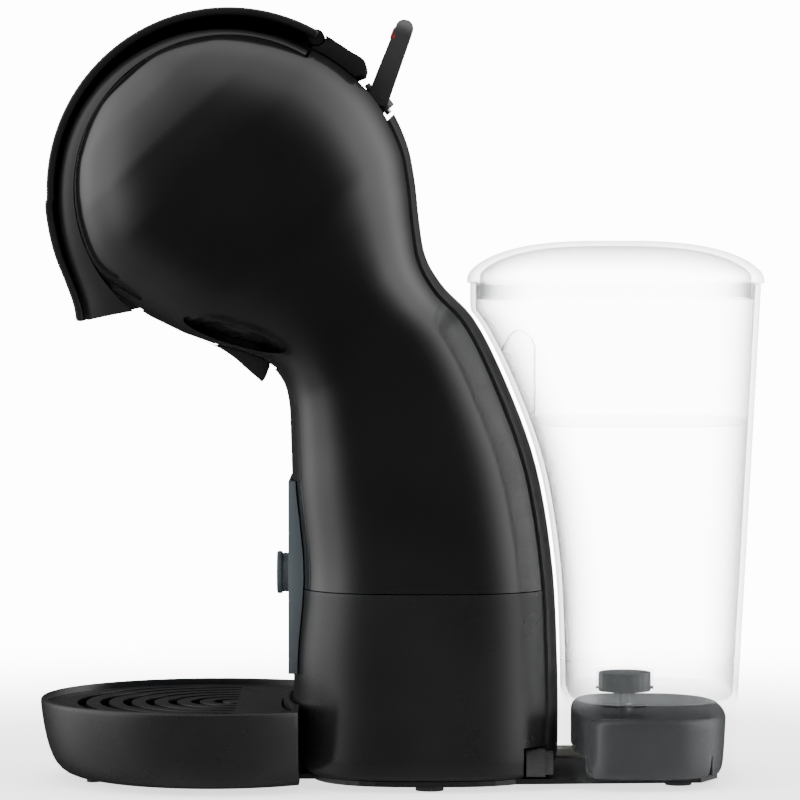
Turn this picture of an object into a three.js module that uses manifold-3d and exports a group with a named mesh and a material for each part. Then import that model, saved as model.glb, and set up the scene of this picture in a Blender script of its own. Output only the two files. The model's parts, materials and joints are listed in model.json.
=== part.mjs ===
// A compact pod coffee machine: a round head on a leaning column, a drip tray in front,
// and a clear water tank behind. Millimetres, +Z up, front towards -X, left-right symmetric
// about Y = 0, origin on the ground under the middle of the machine.
import * as THREE from 'three';
import { mergeVertices } from 'three/addons/utils/BufferGeometryUtils.js';
import Module from 'manifold-3d';

const wasm = await Module();
wasm.setup();

const power = (value, exponent) => Math.sign(value) * Math.abs(value) ** exponent;
const radians = (degrees) => (degrees * Math.PI) / 180;

// ---- driving dimensions -------------------------------------------------------------------
const headX = -64;            // centre of the round head
const headZ = 222.9;
const headRadius = 62;        // shell radius in side view
const headHalfWidth = 68;
const columnHalfWidth = 54;
const shellWall = 2.4;
const gap = 0.4;              // between fixed pieces that touch
const runGap = 0.6;           // between pieces that move past each other
const bandHalf = 34;          // half width of the centre band
const bandRadius = 67.5;      // outer radius of the centre band round the head
const seamZ = 73.6;           // top edge of the lower skirt
const bodyBottomZ = 4.2;
const baseThickness = 2;
const footHeight = 1.8;

const visorHalf = 37;
const visorWall = 3;
const seamRadius = 56.8;      // round seam between the cheeks and the visor's sides
const seamHalf = 39.7;        // how far out the skin stands at that seam
const domeHalf = 30;          // half width of the fixed dome under the visor
const webWall = 2;
const scoopX = -61.1;
const scoopZ = 169.4;
const scoopHalfLength = 20;
const scoopHalfHeight = 4.2;
const scoopTilt = radians(16.6);
const scoopDepth = 4;
const pivotAngle = 60;        // where the visor hinges, degrees round the head from +X
const pivotRadius = 65.3;
const knuckleRadius = 2.9;
const pinRadius = 1.4;
const lugNear = 10;           // the hinge lugs stand between these distances from the middle
const lugFar = 15;

const podX = -72;             // axis of the capsule
const podRadius = 23;
const drawerTopZ = 198;
const drawerHeight = 19;
const drawerHalf = podRadius + 3.5;
const drawerBackX = -46;
const drawerFrontX = -104;
const railFrontX = -91.5;
const needleLength = 6;
const injectorThickness = 4.5;

const leverX = -8.7;          // middle of the lever hub
const leverZ = 257.4;
const leverLength = 31.8;
const leverThickness = 8.4;    // at the hub
const leverTipThickness = 6.8;
const leverWidth = 12;
const leverLean = 20.6;       // degrees back from upright
const hubRadius = 3.6;
const hubLength = 11;
const hubTilt = 52.3;         // degrees that the hub axis falls to the rear

const buttonZ = 78;
const buttonRadius = 8.1;
const buttonNeck = 7.4;
const buttonFrontX = -47.1;
const buttonDisc = 2.2;
const panelFrontX = -42.2;    // flat face of the front accent panel
const panelTopZ = 114;
const panelBottomZ = 41.8;
const panelHalf = 27;

const trayX = -70.8;          // centre of the round drip tray
const trayRadius = 66;
const trayRimZ = 31;
const trayBottomZ = 1.4;
const trayWall = 2.2;
const trayBackX = -38;         // flat ends of the tray beside the column
const trayFloorZ = 6.6;
const gridThickness = 2;
const gridDrop = 2.2;         // grid's top face below the tray's rim
const slotWidth = 3.4;
const slotPitch = 8.6;
const slotCount = 7;
const tongueHalf = 22;
const tongueFrontX = -88;

const tankTopZ = 187.6;
const tankBottomZ = 2.4;
const tankFloorZ = 29.4;
const tankFloor = 3;
const tankWall = 2;
const fullDepthZ = 22;        // below this the column's foot is rounded, and the tank is not
const tankTopX = 26.3;        // front wall near the top, where it stands upright
const tankGap = 2.3;          // from the column to the front wall
const tankRearTopX = 135.6;
const tankRearBottomX = 125.6;
const tankHalfTop = 60;
const tankHalfBottom = 52;
const lidOverhang = 1.2;
const lidRim = 2.4;
const lidHeight = 13.4;
const lidWall = 2;
const lidSkirt = 6;
const valveX = 85;
const valveRadius = 6;
const platformTopZ = 27;

// ---- materials ----------------------------------------------------------------------------
const finish = (color, roughness, metalness = 0, opacity = 1) => new THREE.MeshStandardMaterial(
  { color, roughness, metalness, opacity, transparent: opacity < 1 });
const glossBlack = finish(0x0b0b0c, 0.12);
const satinBlack = finish(0x18181a, 0.45);
const darkGrey = finish(0x2b2c2f, 0.4);
const slateGrey = finish(0x3c4449, 0.4);
const clearPlastic = finish(0xf2f6f8, 0.05, 0, 0.3);
const rubber = finish(0x141414, 0.85);
const steel = finish(0xb9bcc0, 0.3, 1);
const castAlloy = finish(0x9a9da1, 0.5, 1);
const innerPlastic = finish(0x55585c, 0.6);
const boardGreen = finish(0x1f5a3a, 0.5);
const silicone = finish(0xd8d2c4, 0.6);

const object = new THREE.Group();

// ---- solid helpers ------------------------------------------------------------------------
function solid(geometry) {
  const bare = geometry.clone();
  bare.deleteAttribute('normal');
  bare.deleteAttribute('uv');
  const merged = mergeVertices(bare, 1e-4);
  const mesh = new wasm.Mesh({
    numProp: 3,
    vertProperties: new Float32Array(merged.attributes.position.array),
    triVerts: new Uint32Array(merged.index.array),
  });
  return new wasm.Manifold(mesh);
}

function add(name, shape, material) {
  const { vertProperties, triVerts } = shape.getMesh();
  const geometry = new THREE.BufferGeometry();
  geometry.setAttribute('position', new THREE.BufferAttribute(vertProperties, 3));
  geometry.setIndex(new THREE.BufferAttribute(triVerts, 1));
  geometry.computeVertexNormals();
  const mesh = new THREE.Mesh(geometry, material);
  mesh.name = name;
  object.add(mesh);
}

const joined = (...shapes) => shapes.reduce((whole, shape) => whole.add(shape));
const cut = (whole, ...tools) => tools.reduce((rest, tool) => rest.subtract(tool), whole);

function block(x0, x1, y0, y1, z0, z1) {
  const geometry = new THREE.BoxGeometry(x1 - x0, y1 - y0, z1 - z0);
  geometry.translate((x0 + x1) / 2, (y0 + y1) / 2, (z0 + z1) / 2);
  return solid(geometry);
}

// An outline of [x, z] points, extruded from y0 to y1.
function slab(points, y0, y1) {
  const shape = new THREE.Shape(points.map(([x, z]) => new THREE.Vector2(x, z)));
  const geometry = new THREE.ExtrudeGeometry(shape, { depth: y1 - y0, bevelEnabled: false });
  geometry.rotateX(Math.PI / 2);
  geometry.translate(0, y1, 0);
  return solid(geometry);
}

// A turned piece about an upright axis at (x, y); profile points are [radius, z].
function turned(profile, x, y = 0, segments = 22) {
  const points = profile.map(([r, z]) => new THREE.Vector2(r, z));
  const geometry = new THREE.LatheGeometry(points, segments);
  geometry.rotateX(Math.PI / 2);
  geometry.scale(1, -1, 1);
  flip(geometry);
  geometry.translate(x, y, 0);
  return solid(geometry);
}

function flip(geometry) {
  const index = geometry.index.array;
  for (let i = 0; i < index.length; i += 3) {
    [index[i], index[i + 1]] = [index[i + 1], index[i]];
  }
}

const post = (x, y, radius, z0, z1, segments = 18) =>
  turned([[0, z0], [radius, z0], [radius, z1], [0, z1]], x, y, segments);

// A cylinder from one point to another.
function rod(from, to, radius, segments = 20) {
  const a = new THREE.Vector3(...from);
  const b = new THREE.Vector3(...to);
  const geometry = new THREE.CylinderGeometry(radius, radius, a.distanceTo(b), segments);
  const up = new THREE.Vector3(0, 1, 0);
  const along = b.clone().sub(a).normalize();
  geometry.applyQuaternion(new THREE.Quaternion().setFromUnitVectors(up, along));
  geometry.translate((a.x + b.x) / 2, (a.y + b.y) / 2, (a.z + b.z) / 2);
  return solid(geometry);
}

// A hose or spring wire of round section along a smooth path.
function tube(points, radius, steps, sides = 6) {
  const path = new THREE.CatmullRomCurve3(points.map((point) => new THREE.Vector3(...point)));
  const section = new THREE.Shape();
  for (let k = 0; k < sides; k += 1) {
    const angle = (2 * Math.PI * k) / sides;
    const draw = k === 0 ? 'moveTo' : 'lineTo';
    section[draw](radius * Math.cos(angle), radius * Math.sin(angle));
  }
  return solid(new THREE.ExtrudeGeometry(section, { extrudePath: path, steps, bevelEnabled: false }));
}

// A skin over rings of points that all have the same count, closed by a fan at each end.
function loft(rings) {
  const count = rings[0].length;
  const positions = rings.flat(2);
  const triangles = [];
  rings.slice(1).forEach((ring, r) => {
    for (let k = 0; k < count; k += 1) {
      const a = r * count + k;
      const b = r * count + ((k + 1) % count);
      triangles.push(a, b, b + count, a, b + count, a + count);
    }
  });
  const centre = (ring) => [0, 1, 2].map((i) => ring.reduce((sum, p) => sum + p[i], 0) / count);
  const first = rings.length * count;
  positions.push(...centre(rings[0]), ...centre(rings[rings.length - 1]));
  const lastRing = (rings.length - 1) * count;
  for (let k = 0; k < count; k += 1) {
    const next = (k + 1) % count;
    triangles.push(first, next, k);
    triangles.push(first + 1, lastRing + k, lastRing + next);
  }
  const geometry = new THREE.BufferGeometry();
  geometry.setAttribute('position', new THREE.Float32BufferAttribute(positions, 3));
  geometry.setIndex(triangles);
  const shape = solid(geometry);
  if (shape.volume() > 0) return shape;
  flip(geometry);
  return solid(geometry);
}

const onHead = (angle, radius) => [
  headX + radius * Math.cos(radians(angle)), headZ + radius * Math.sin(radians(angle))];
const arc = (radius, start, end, steps) => Array.from({ length: steps + 1 },
  (unused, k) => onHead(start + ((end - start) * k) / steps, radius));

// ---- the body skin ------------------------------------------------------------------------
// Sections down the body: lower or front point, upper or rear point, half width, squareness.
const poleAngle = 132;
const poleRoundness = 0.585;  // lower makes the cheeks fuller towards the front pole
const headSquareness = 2.85;
const headSections = [8, 16, 28, 44, 62, 80, 98].map((turn) => [
  onHead(poleAngle + turn, headRadius - Math.max(0, turn - 80) * 0.2),
  onHead(poleAngle - turn, headRadius + Math.max(0, turn - 60) * 0.12),
  headHalfWidth * Math.sin(radians(Math.min(turn, 90))) ** poleRoundness,
  headSquareness]);
const neckSections = [
  [[-85, 169.4], [1.5, 240.5], 66.5, 3],
  [[-72.1, 164.6], [4.6, 226], 63, 3],
  [[-59.5, 161.4], [6.3, 210.5], 59.5, 3],
  [[-49.3, 156.8], [8.8, 197], 56.8, 3],
  [[-44.4, 150.8], [15, 186.5], 55, 3],
  [[-42.4, 143.5], [26.6, 174.3], 54, 3],
  [[-41.6, 128], [40.6, 146.2], 53.6, 3],
  [[-41, 112], [50.3, 118.5], columnHalfWidth, 3],
  [[-38.2, 80], [56.4, 82], columnHalfWidth, 3],
  [[-40.4, 48], [58.3, 48], columnHalfWidth, 3],
  [[-40.6, 22], [58.6, 22], columnHalfWidth, 3],
  [[-40, 11], [58.2, 11], columnHalfWidth - 0.6, 3],
  [[-37.6, 6], [56.6, 6], columnHalfWidth - 2.4, 3],
  [[-35, bodyBottomZ], [54.4, bodyBottomZ], columnHalfWidth - 5, 3]];
const sections = [...headSections, ...neckSections];
const ringPoints = 32;
const ringSteps = 25;

const curveOf = (points) => new THREE.CatmullRomCurve3(points.map((p) => new THREE.Vector3(...p)));
const frontCurve = curveOf(sections.map(([front]) => [front[0], 0, front[1]]));
const rearCurve = curveOf(sections.map(([, rear]) => [rear[0], 0, rear[1]]));
const girthCurve = curveOf(sections.map(([, , half, square]) => [half, square, 0]));

function bodyRing(t, offset, drop = 0) {
  const front = frontCurve.getPoint(t);
  const rear = rearCurve.getPoint(t);
  const girth = girthCurve.getPoint(t);
  const middle = front.clone().add(rear).multiplyScalar(0.5);
  const half = front.distanceTo(rear) / 2 + offset;
  const across = rear.clone().sub(front).normalize();
  return Array.from({ length: ringPoints }, (unused, k) => {
    const angle = (2 * Math.PI * k) / ringPoints;
    const reach = half * power(Math.cos(angle), 2 / girth.y);
    const side = (girth.x + offset) * power(Math.sin(angle), 2 / girth.y);
    return [middle.x + across.x * reach, side, middle.z + across.z * reach - drop];
  });
}

// The body grown or shrunk by an offset; the shrunk one runs out through the bottom.
function body(offset) {
  const hollow = offset < 0;
  const start = hollow ? 1 : 0;
  const rings = [];
  for (let k = start; k <= ringSteps; k += 1) rings.push(bodyRing(k / ringSteps, offset));
  if (hollow) rings.push(bodyRing(1, offset, 8));
  return loft(rings);
}

// How far back the body reaches at a height, below the head.
function rearAt(z) {
  let low = 0.5;
  let high = 1;
  for (let k = 0; k < 30; k += 1) {
    const t = (low + high) / 2;
    if (rearCurve.getPoint(t).z > z) low = t;
    else high = t;
  }
  return rearCurve.getPoint(low).x;
}

const bodySolid = body(0);
const bodyClear = body(gap);
const shell = cut(bodySolid, body(-shellWall));
const far = 200;

// ---- casings ------------------------------------------------------------------------------
const pivot = onHead(pivotAngle, pivotRadius);
const acrossPin = (radius, half) => rod([pivot[0], -half, pivot[1]], [pivot[0], half, pivot[1]], radius);
const leverAxis = [Math.cos(radians(hubTilt)), -Math.sin(radians(hubTilt))];
const troughRear = [-0.6, 253.6];
const troughFront = [-13.4, 266.2];
const troughFloor = [[-16.6, 257.4], [-12.8, 252.6], [-8.6, 248.6], [-4.2, 245.8]];

const glandX = 50.5;
const glandY = -39.5;
const glandZ = 10;
const notch = block(glandX - 5, glandX + 12, glandY - 20, glandY + 5.5, 0, glandZ + 6);
const cheekZone = (side) => slab([[-far, seamZ + gap], [far, seamZ + gap], [far, 320], [-far, 320]],
  side > 0 ? bandHalf + gap : -far, side > 0 ? far : -bandHalf - gap);
// the visor's sides lie in the cheeks' surface outside a round seam
const visorSector = slab([...arc(90, pivotAngle - 1.2, 233, 30),
  ...arc(seamRadius, 233, pivotAngle - 1.2, 60)],
  -far, far);
// a shallow oval scoop low on each cheek
function scoopOval(grow) {
  const points = Array.from({ length: 40 }, (unused, k) => {
    const turn = (2 * Math.PI * k) / 40;
    const along = (scoopHalfLength + grow) * Math.cos(turn);
    const up = (scoopHalfHeight + grow) * Math.sin(turn);
    return [scoopX + along * Math.cos(scoopTilt) + up * Math.sin(scoopTilt),
      scoopZ - along * Math.sin(scoopTilt) + up * Math.cos(scoopTilt)];
  });
  return slab(points, -far, far);
}
const scoopWall = 1.4;
const scoopPan = cut(bodySolid, body(-scoopDepth - scoopWall)).intersect(scoopOval(scoopWall));
const scoopHollow = cut(scoopOval(0), body(-scoopDepth));
const cheek = cut(shell.add(scoopPan), scoopHollow, visorSector);
[['left', 1], ['right', -1]].forEach(([side, sign]) => {
  add(`cheek_${side}`, cheek.intersect(cheekZone(sign)), glossBlack);
});

const buttonHole = rod([-60, 0, buttonZ], [-30, 0, buttonZ], buttonNeck + runGap);
const hoseZ = 9.5;
const hoseRadius = 2.5;
const hoseHole = block(44, 70, -hoseRadius - 1, hoseRadius + 1, hoseZ - 3.5, hoseZ + 3.5);
const skirtTop = block(-far, far, -far, far, 0, seamZ);
const rearStrip = block(20, far, -bandHalf - gap, bandHalf + gap, -10, 320);
add('lower_skirt', cut(shell.intersect(skirtTop), rearStrip, buttonHole, notch), satinBlack);

const spineZone = slab([troughRear, [20, 262], [far, 262], [far, bodyBottomZ], [20, bodyBottomZ],
  [12, 120], [-20, 205], [-16, 236]], -bandHalf, bandHalf);
const spineShell = cut(body(0.8), body(-shellWall));
add('spine_cover', cut(spineShell.intersect(spineZone), hoseHole), satinBlack);

const lugs = [-1, 1].map((sign) => {
  const near = sign > 0 ? lugNear : -lugFar;
  const stem = slab([onHead(pivotAngle - 2, headRadius - 1.5), onHead(pivotAngle + 2.6, headRadius - 1.5),
    onHead(pivotAngle + 2.4, pivotRadius), onHead(pivotAngle - 1.6, pivotRadius)], near, near + 5);
  const eye = rod([pivot[0], near, pivot[1]], [pivot[0], near + 5, pivot[1]], 2.3);
  return stem.add(eye);
});
const domeZone = slab([onHead(pivotAngle - 2.4, 75), onHead(90, 90), onHead(132, 100), onHead(180, 90),
  onHead(228, 75), onHead(228, 40), onHead(180, 30), onHead(100, 40), onHead(pivotAngle - 2.4, 50)],
-domeHalf, domeHalf);
const bayTopZ = drawerTopZ + 14;
const bay = block(-140, -100, -drawerHalf - 2, drawerHalf + 2, 160, bayTopZ);
const drawerRoom = block(drawerFrontX - 10, drawerBackX, -drawerHalf - runGap, drawerHalf + runGap,
  drawerTopZ - drawerHeight - runGap, drawerTopZ + runGap);
const knuckleBed = acrossPin(knuckleRadius + runGap, bandHalf + 1);
const dome = joined(cut(shell.intersect(domeZone), bay, drawerRoom, knuckleBed), ...lugs);
add('head_dome', cut(dome, acrossPin(pinRadius + 0.3, 40)), glossBlack);
add('hinge_pin', acrossPin(pinRadius, bandHalf - 2), steel);

const undersideZone = slab([onHead(228.8, 75), [-70, 140], [-47, 140], [-46.2, 151.5], [-38, 168],
  [-50, 185], onHead(228.8, 40)], -bandHalf, bandHalf);
const outletRadius = 11;
const spoutHalf = 20;
const outletHole = post(podX, 0, outletRadius, 140, 190);
const drawerWay = block(-140, -90, -drawerHalf - 2, drawerHalf + 2, drawerTopZ - drawerHeight - 1.6, bayTopZ);
add('underside_cover', cut(cut(body(-1), body(-3.6)).intersect(undersideZone), outletHole, drawerWay),
  satinBlack);

const spout = slab([[-76, 166.8], [-69.1, 164.2], [-63.3, 160.6], [-57.5, 155.6], [-52.1, 150.9],
  [-50.3, 155.4],
  [-50, 160], [-60, 166], [-76, 170]], -spoutHalf, spoutHalf);
add('splash_guard', cut(spout, body(-0.6)), satinBlack);

const panelZone = slab([[-47.6, 155.2], [-38, 164], [-10, 150], [-10, seamZ + gap], [-60, seamZ + gap],
  [-60, 140]], -bandHalf, bandHalf);
add('front_panel', cut(shell.intersect(panelZone), buttonHole, cut(body(-0.6), body(-4))
  .intersect(undersideZone)), satinBlack);

const accent = slab([[panelFrontX, panelBottomZ], [-34, panelBottomZ], [-34, panelTopZ],
  [panelFrontX, panelTopZ]], -panelHalf, panelHalf);
add('accent_panel', cut(accent, bodyClear, buttonHole), slateGrey);

// the visor: a broad curved skin with a lip in front of the drawer, webs down its edges, and
// sides that fill the cheeks' surface out to the skin
const lip = [[-132, 218], [-130.6, 206.5], [-128, 197], [-124.8, 189], [-121.6, 180], [-120.6, 174]];
const lipInside = lip.map(([x, z]) => [x + visorWall, z]);
const visorSkin = slab([...arc(bandRadius, pivotAngle, 183, 26), ...lip,
  ...lipInside.toReversed(), ...arc(bandRadius - visorWall, 183, pivotAngle, 26)], -visorHalf, visorHalf);

// How far out the visor's side reaches at an angle round the head.
const sideReach = new THREE.CatmullRomCurve3([[pivotAngle, 59.2], [85, 59.2], [115, 60.6], [150, 62.6],
  [180, 63.4], [194, 64.2], [203, 65], [210, 66], [217, 68], [224, 72], [233, 76]]
  .map(([angle, radius]) => new THREE.Vector3(angle, radius, 0)));
const sideSteps = 40;
const belowLip = slab([[-150, 172], [-118, 174], [-107.6, 176.3], [-99.7, 177.8], [-80, 181], [-80, 120],
  [-150, 120]], -far, far);
function visorSide(sign) {
  const rings = Array.from({ length: sideSteps + 1 }, (unused, k) => {
    const { x: angle, y: reach } = sideReach.getPoint(k / sideSteps);
    return [[seamRadius + gap, seamHalf], [reach, bandHalf + gap], [reach, bandHalf - webWall],
      [seamRadius + gap, seamHalf - webWall - 0.6]].map(([radius, half]) => {
      const [x, z] = onHead(angle, radius);
      return [x, sign * half, z];
    });
  });
  return loft(rings);
}
function visorWeb(sign) {
  const near = sign > 0 ? domeHalf + runGap : -domeHalf - runGap - webWall;
  const outer = [...arc(bandRadius - 1, pivotAngle, 183, 26), ...lip.map(([x, z]) => [x + 1, z])];
  const inner = Array.from({ length: sideSteps + 1 }, (unused, k) => {
    const { x: angle, y: reach } = sideReach.getPoint(1 - k / sideSteps);
    return onHead(angle, Math.min(reach, bandRadius - visorWall) - 1.4);
  });
  return slab([...outer, ...inner], near, near + webWall);
}
const visorBody = cut(joined(visorSkin, visorSide(1), visorSide(-1), visorWeb(1), visorWeb(-1)), belowLip);
const lugGaps = [-1, 1].map((sign) => rod([pivot[0], sign * (lugNear - runGap), pivot[1]],
  [pivot[0], sign * (lugFar + runGap), pivot[1]], 5));
const visor = cut(visorBody.add(acrossPin(knuckleRadius, bandHalf - 1)), ...lugGaps,
  acrossPin(pinRadius + 0.3, 50));
add('visor', visor, satinBlack);

const rearBand = slab([...arc(bandRadius + 0.3, pivotAngle - 0.6, 52, 3), onHead(48, bandRadius + 1),
  [-16.3, 272.8], [-13.6, 270.8], [-12.7, 268.6],
  troughFront, [-17.4, 264.6], ...arc(58, 44, pivotAngle - 0.6, 5)], -bandHalf, bandHalf);
add('rear_top_band', cut(rearBand, acrossPin(knuckleRadius + runGap, 50), body(gap)), satinBlack);

// the trough that the selector lever stands in
const slotHalf = 10;
const saddle = slab([[-19.9, 264.6], ...troughFloor, [-5, 243.4],
  [-10.2, 246.2], [-14.6, 250.2], [-18.6, 255.2], [-22.4, 260.8], [-21.6, 263.8]], -bandHalf + gap,
bandHalf - gap);
const tailSlot = block(-13, -6.4, -slotHalf, slotHalf, 238, 256);
const insideShell = body(-shellWall - gap);
add('lever_saddle', cut(saddle.intersect(insideShell), tailSlot), glossBlack);

// ---- selector lever -----------------------------------------------------------------------
const leverLow = [leverX - leverAxis[0] * hubLength / 2, leverZ - leverAxis[1] * hubLength / 2];
const leverHigh = [leverX + leverAxis[0] * hubLength / 2, leverZ + leverAxis[1] * hubLength / 2];
const hubRod = (radius, extra) => rod(
  [leverLow[0] - leverAxis[0] * extra, 0, leverLow[1] - leverAxis[1] * extra],
  [leverHigh[0] + leverAxis[0] * extra, 0, leverHigh[1] + leverAxis[1] * extra], radius, 24);

function leverBlade() {
  const halfWidth = leverWidth / 2;
  const tipHalf = leverTipThickness / 2;
  const side = new THREE.Shape();
  side.moveTo(-leverThickness / 2, -2);
  side.lineTo(leverThickness / 2, -2);
  side.lineTo(tipHalf, leverLength - tipHalf);
  side.absarc(0, leverLength - tipHalf, tipHalf, 0, Math.PI, false);
  const face = new THREE.Shape();
  face.moveTo(-halfWidth * 0.8, -2);
  face.lineTo(halfWidth * 0.8, -2);
  face.lineTo(halfWidth, leverLength - halfWidth);
  face.absarc(0, leverLength - halfWidth, halfWidth, 0, Math.PI, false);
  const [profile, front] = [side, face].map((shape) => {
    const geometry = new THREE.ExtrudeGeometry(shape, { depth: 20, bevelEnabled: false, curveSegments: 9 });
    geometry.translate(0, 0, -10);
    geometry.rotateX(Math.PI / 2);
    return geometry;
  });
  front.rotateZ(Math.PI / 2);
  return [profile, front].map((geometry) => {
    geometry.rotateY(radians(leverLean));
    geometry.translate(leverX, 0, leverZ);
    return solid(geometry);
  }).reduce((blade, other) => blade.intersect(other));
}
const tailLength = 12;
const tail = rod([leverX, 0, leverZ], [leverX - 2.4, 0, leverZ - tailLength], 1.8, 12);
add('selector_lever', cut(joined(hubRod(hubRadius, 0), leverBlade(), tail), hubRod(1.5, 2)), satinBlack);
add('lever_pin', hubRod(1.2, 1.5), steel);

// ---- power button -------------------------------------------------------------------------
const buttonPart = joined(
  rod([buttonFrontX, 0, buttonZ], [buttonFrontX + buttonDisc, 0, buttonZ], buttonRadius, 32),
  rod([buttonFrontX + 1, 0, buttonZ], [-38.4, 0, buttonZ], buttonNeck, 28),
  rod([-39, 0, buttonZ], [-31.4, 0, buttonZ], 2, 12));
add('power_button', buttonPart, slateGrey);
const springTurns = 4;
const springSteps = springTurns * 8;
const springPath = (x, y, z0, z1, radius, lie) => Array.from({ length: springSteps + 1 }, (unused, k) => {
  const angle = (k * Math.PI) / 4;
  const along = z0 + ((z1 - z0) * k) / springSteps;
  const [a, b] = [radius * Math.cos(angle), radius * Math.sin(angle)];
  return lie ? [along, y + a, x + b] : [x + a, y + b, along];
});
add('button_spring', tube(springPath(buttonZ, 0, -36.3, -30.2, 3.4, true), 0.45, 36, 4), steel);
add('power_switch', block(-29.4, -18, -8, 8, buttonZ - 9, buttonZ + 9), innerPlastic);

// ---- base ---------------------------------------------------------------------------------
const tongue = block(tongueFrontX, 0, -tongueHalf, tongueHalf, footHeight, footHeight + baseThickness);
const baseOval = (inset) => {
  const points = [];
  for (let k = 0; k < 40; k += 1) {
    const angle = (2 * Math.PI * k) / 40;
    points.push([9.7 + (44 - inset) * power(Math.cos(angle), 0.7),
      (columnHalfWidth - 6 - inset) * power(Math.sin(angle), 0.7)]);
  }
  return points;
};
function flat(points, z0, z1) {
  const shape = new THREE.Shape(points.map(([x, y]) => new THREE.Vector2(x, y)));
  const geometry = new THREE.ExtrudeGeometry(shape, { depth: z1 - z0, bevelEnabled: false });
  geometry.translate(0, 0, z0);
  return solid(geometry);
}
const plateTop = footHeight + baseThickness;
const rearWing = flat([[30, -40], [112, -34], [119, -20], [119, 20], [112, 34], [30, 40]],
  footHeight, plateTop);
add('base_plate', joined(flat(baseOval(0), footHeight, plateTop), tongue, rearWing), satinBlack);
const feet = [['foot_right', 10.6, -41, 5.3], ['foot_left', 10.6, 41, 5.3],
  ['foot_front_right', -48.7, -15, 4],
  ['foot_front_left', -48.7, 15, 4], ['foot_rear_right', 104, -24, 5], ['foot_rear_left', 104, 24, 5]];
feet.forEach(([name, x, y, radius]) => {
  add(name, post(x, y, radius, 0, footHeight - 0.3), rubber);
});

// ---- drip tray ----------------------------------------------------------------------------
const bowlOuter = [[0, trayBottomZ], [trayRadius - 18.5, trayBottomZ], [trayRadius - 12, 2.2],
  [trayRadius - 7.4, 4.6], [trayRadius - 4.2, 9.2], [trayRadius - 2.2, 15], [trayRadius - 0.8, 22],
  [trayRadius, 29], [trayRadius, trayRimZ], [0, trayRimZ]];
const bowlInner = [[0, trayFloorZ], [trayRadius - 16, trayFloorZ], [trayRadius - 8.8, 8.4],
  [trayRadius - 5.6, 13], [trayRadius - 4, 18], [trayRadius - 2.6, 25],
  [trayRadius - trayWall, 30], [trayRadius - trayWall, trayRimZ + 5], [0, trayRimZ + 5]];
const trayClear = body(1.6);
const trayInnerClear = body(1.6 + trayWall);
const baseClear = flat(baseOval(-5), -5, 12);
const trayBack = block(trayBackX, 60, -100, 100, -5, 60);
const bowl = cut(turned(bowlOuter, trayX, 0, 44), trayClear, baseClear, trayBack);
const cavity = cut(turned(bowlInner, trayX, 0, 44), trayInnerClear,
  flat(baseOval(-5 - trayWall), -5, 12), block(trayBackX - trayWall, 60, -80, 80, -5, 60));
const tongueChannel = block(tongueFrontX - 1.5, 0, -tongueHalf - 1, tongueHalf + 1, -1, plateTop + 0.6);
add('drip_tray', cut(bowl, cavity, tongueChannel), satinBlack);
const gridTopZ = trayRimZ - gridDrop;
const gridRadius = trayRadius - trayWall - gap;
const disc = cut(post(trayX, 0, gridRadius, gridTopZ - gridThickness, gridTopZ, 44), body(2 + trayWall + gap),
  block(trayBackX - trayWall - gap, 60, -80, 80, 0, 60));
function ringSector(inner, outer, centreX) {
  const shape = new THREE.Shape();
  shape.absarc(centreX, 0, outer, Math.PI * 0.5, Math.PI * 1.5, false);
  shape.absarc(centreX, 0, inner, Math.PI * 1.5, Math.PI * 0.5, true);
  const geometry = new THREE.ExtrudeGeometry(shape, { depth: 12, bevelEnabled: false, curveSegments: 7 });
  geometry.translate(0, 0, gridTopZ - 6);
  return solid(geometry);
}
const slotCentreX = -62;
const slotField = cut(post(trayX, 0, gridRadius - 7, gridTopZ - 5, gridTopZ + 5, 32),
  block(slotCentreX + 8, 0, -80, 80, 0, 60));
const slots = Array.from({ length: slotCount }, (unused, k) => {
  const inner = 6 + k * slotPitch;
  return ringSector(inner, inner + slotWidth, slotCentreX).intersect(slotField);
});
add('drip_grid', cut(disc, ...slots), satinBlack);
const padX = trayX - trayRadius + 20.8;
[-1, 1].forEach((sign) => {
  const name = sign > 0 ? 'tray_pad_left' : 'tray_pad_right';
  add(name, post(padX, sign * 16, 2.5, 0, trayBottomZ - 0.3, 16), rubber);
});

// ---- water tank ---------------------------------------------------------------------------
const mix = (low, high, share) => low + (high - low) * share;
const tankRingPoints = 28;
function tankPlan(z) {
  const share = (z - tankBottomZ) / (tankTopZ - tankBottomZ);
  const reach = z > 178 ? tankTopX : Math.max(tankTopX, rearAt(Math.max(z, fullDepthZ)) + tankGap);
  return [reach, mix(tankRearBottomX, tankRearTopX, share), mix(tankHalfBottom, tankHalfTop, share)];
}
function tankRing(z, offset, atZ = z, scale = 1) {
  const [frontX, rearX, half] = tankPlan(z);
  const middle = (frontX + rearX) / 2;
  const reach = (rearX - frontX) / 2 + offset;
  return Array.from({ length: tankRingPoints }, (unused, k) => {
    const angle = (2 * Math.PI * k) / tankRingPoints;
    const square = Math.cos(angle) < 0 ? 5 : 2.5;
    const side = 3.1;
    const x = reach * power(Math.cos(angle), 2 / square);
    const y = (half + offset) * power(Math.sin(angle), 2 / side);
    return [middle + x * scale, y * scale, atZ];
  });
}
function tankLoft(z0, z1, offset, step = 13) {
  const count = Math.ceil((z1 - z0) / step);
  return loft(Array.from({ length: count + 1 }, (unused, k) => {
    const z = mix(z0, z1, k / count);
    return tankRing(Math.min(z, tankTopZ), offset, z);
  }));
}
const tankWater = tankLoft(tankFloorZ + tankFloor, tankTopZ + 6, -tankWall);
const tankUnder = tankLoft(tankBottomZ - 6, tankFloorZ, -tankWall, 20);
const portRadius = 4.2;
const hoseNotch = joined(block(50, 70, -9, 9, -5, 18), block(50, 75, -42, 42, -5, plateTop + 0.5));
const pocketX = 50.8;
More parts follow.
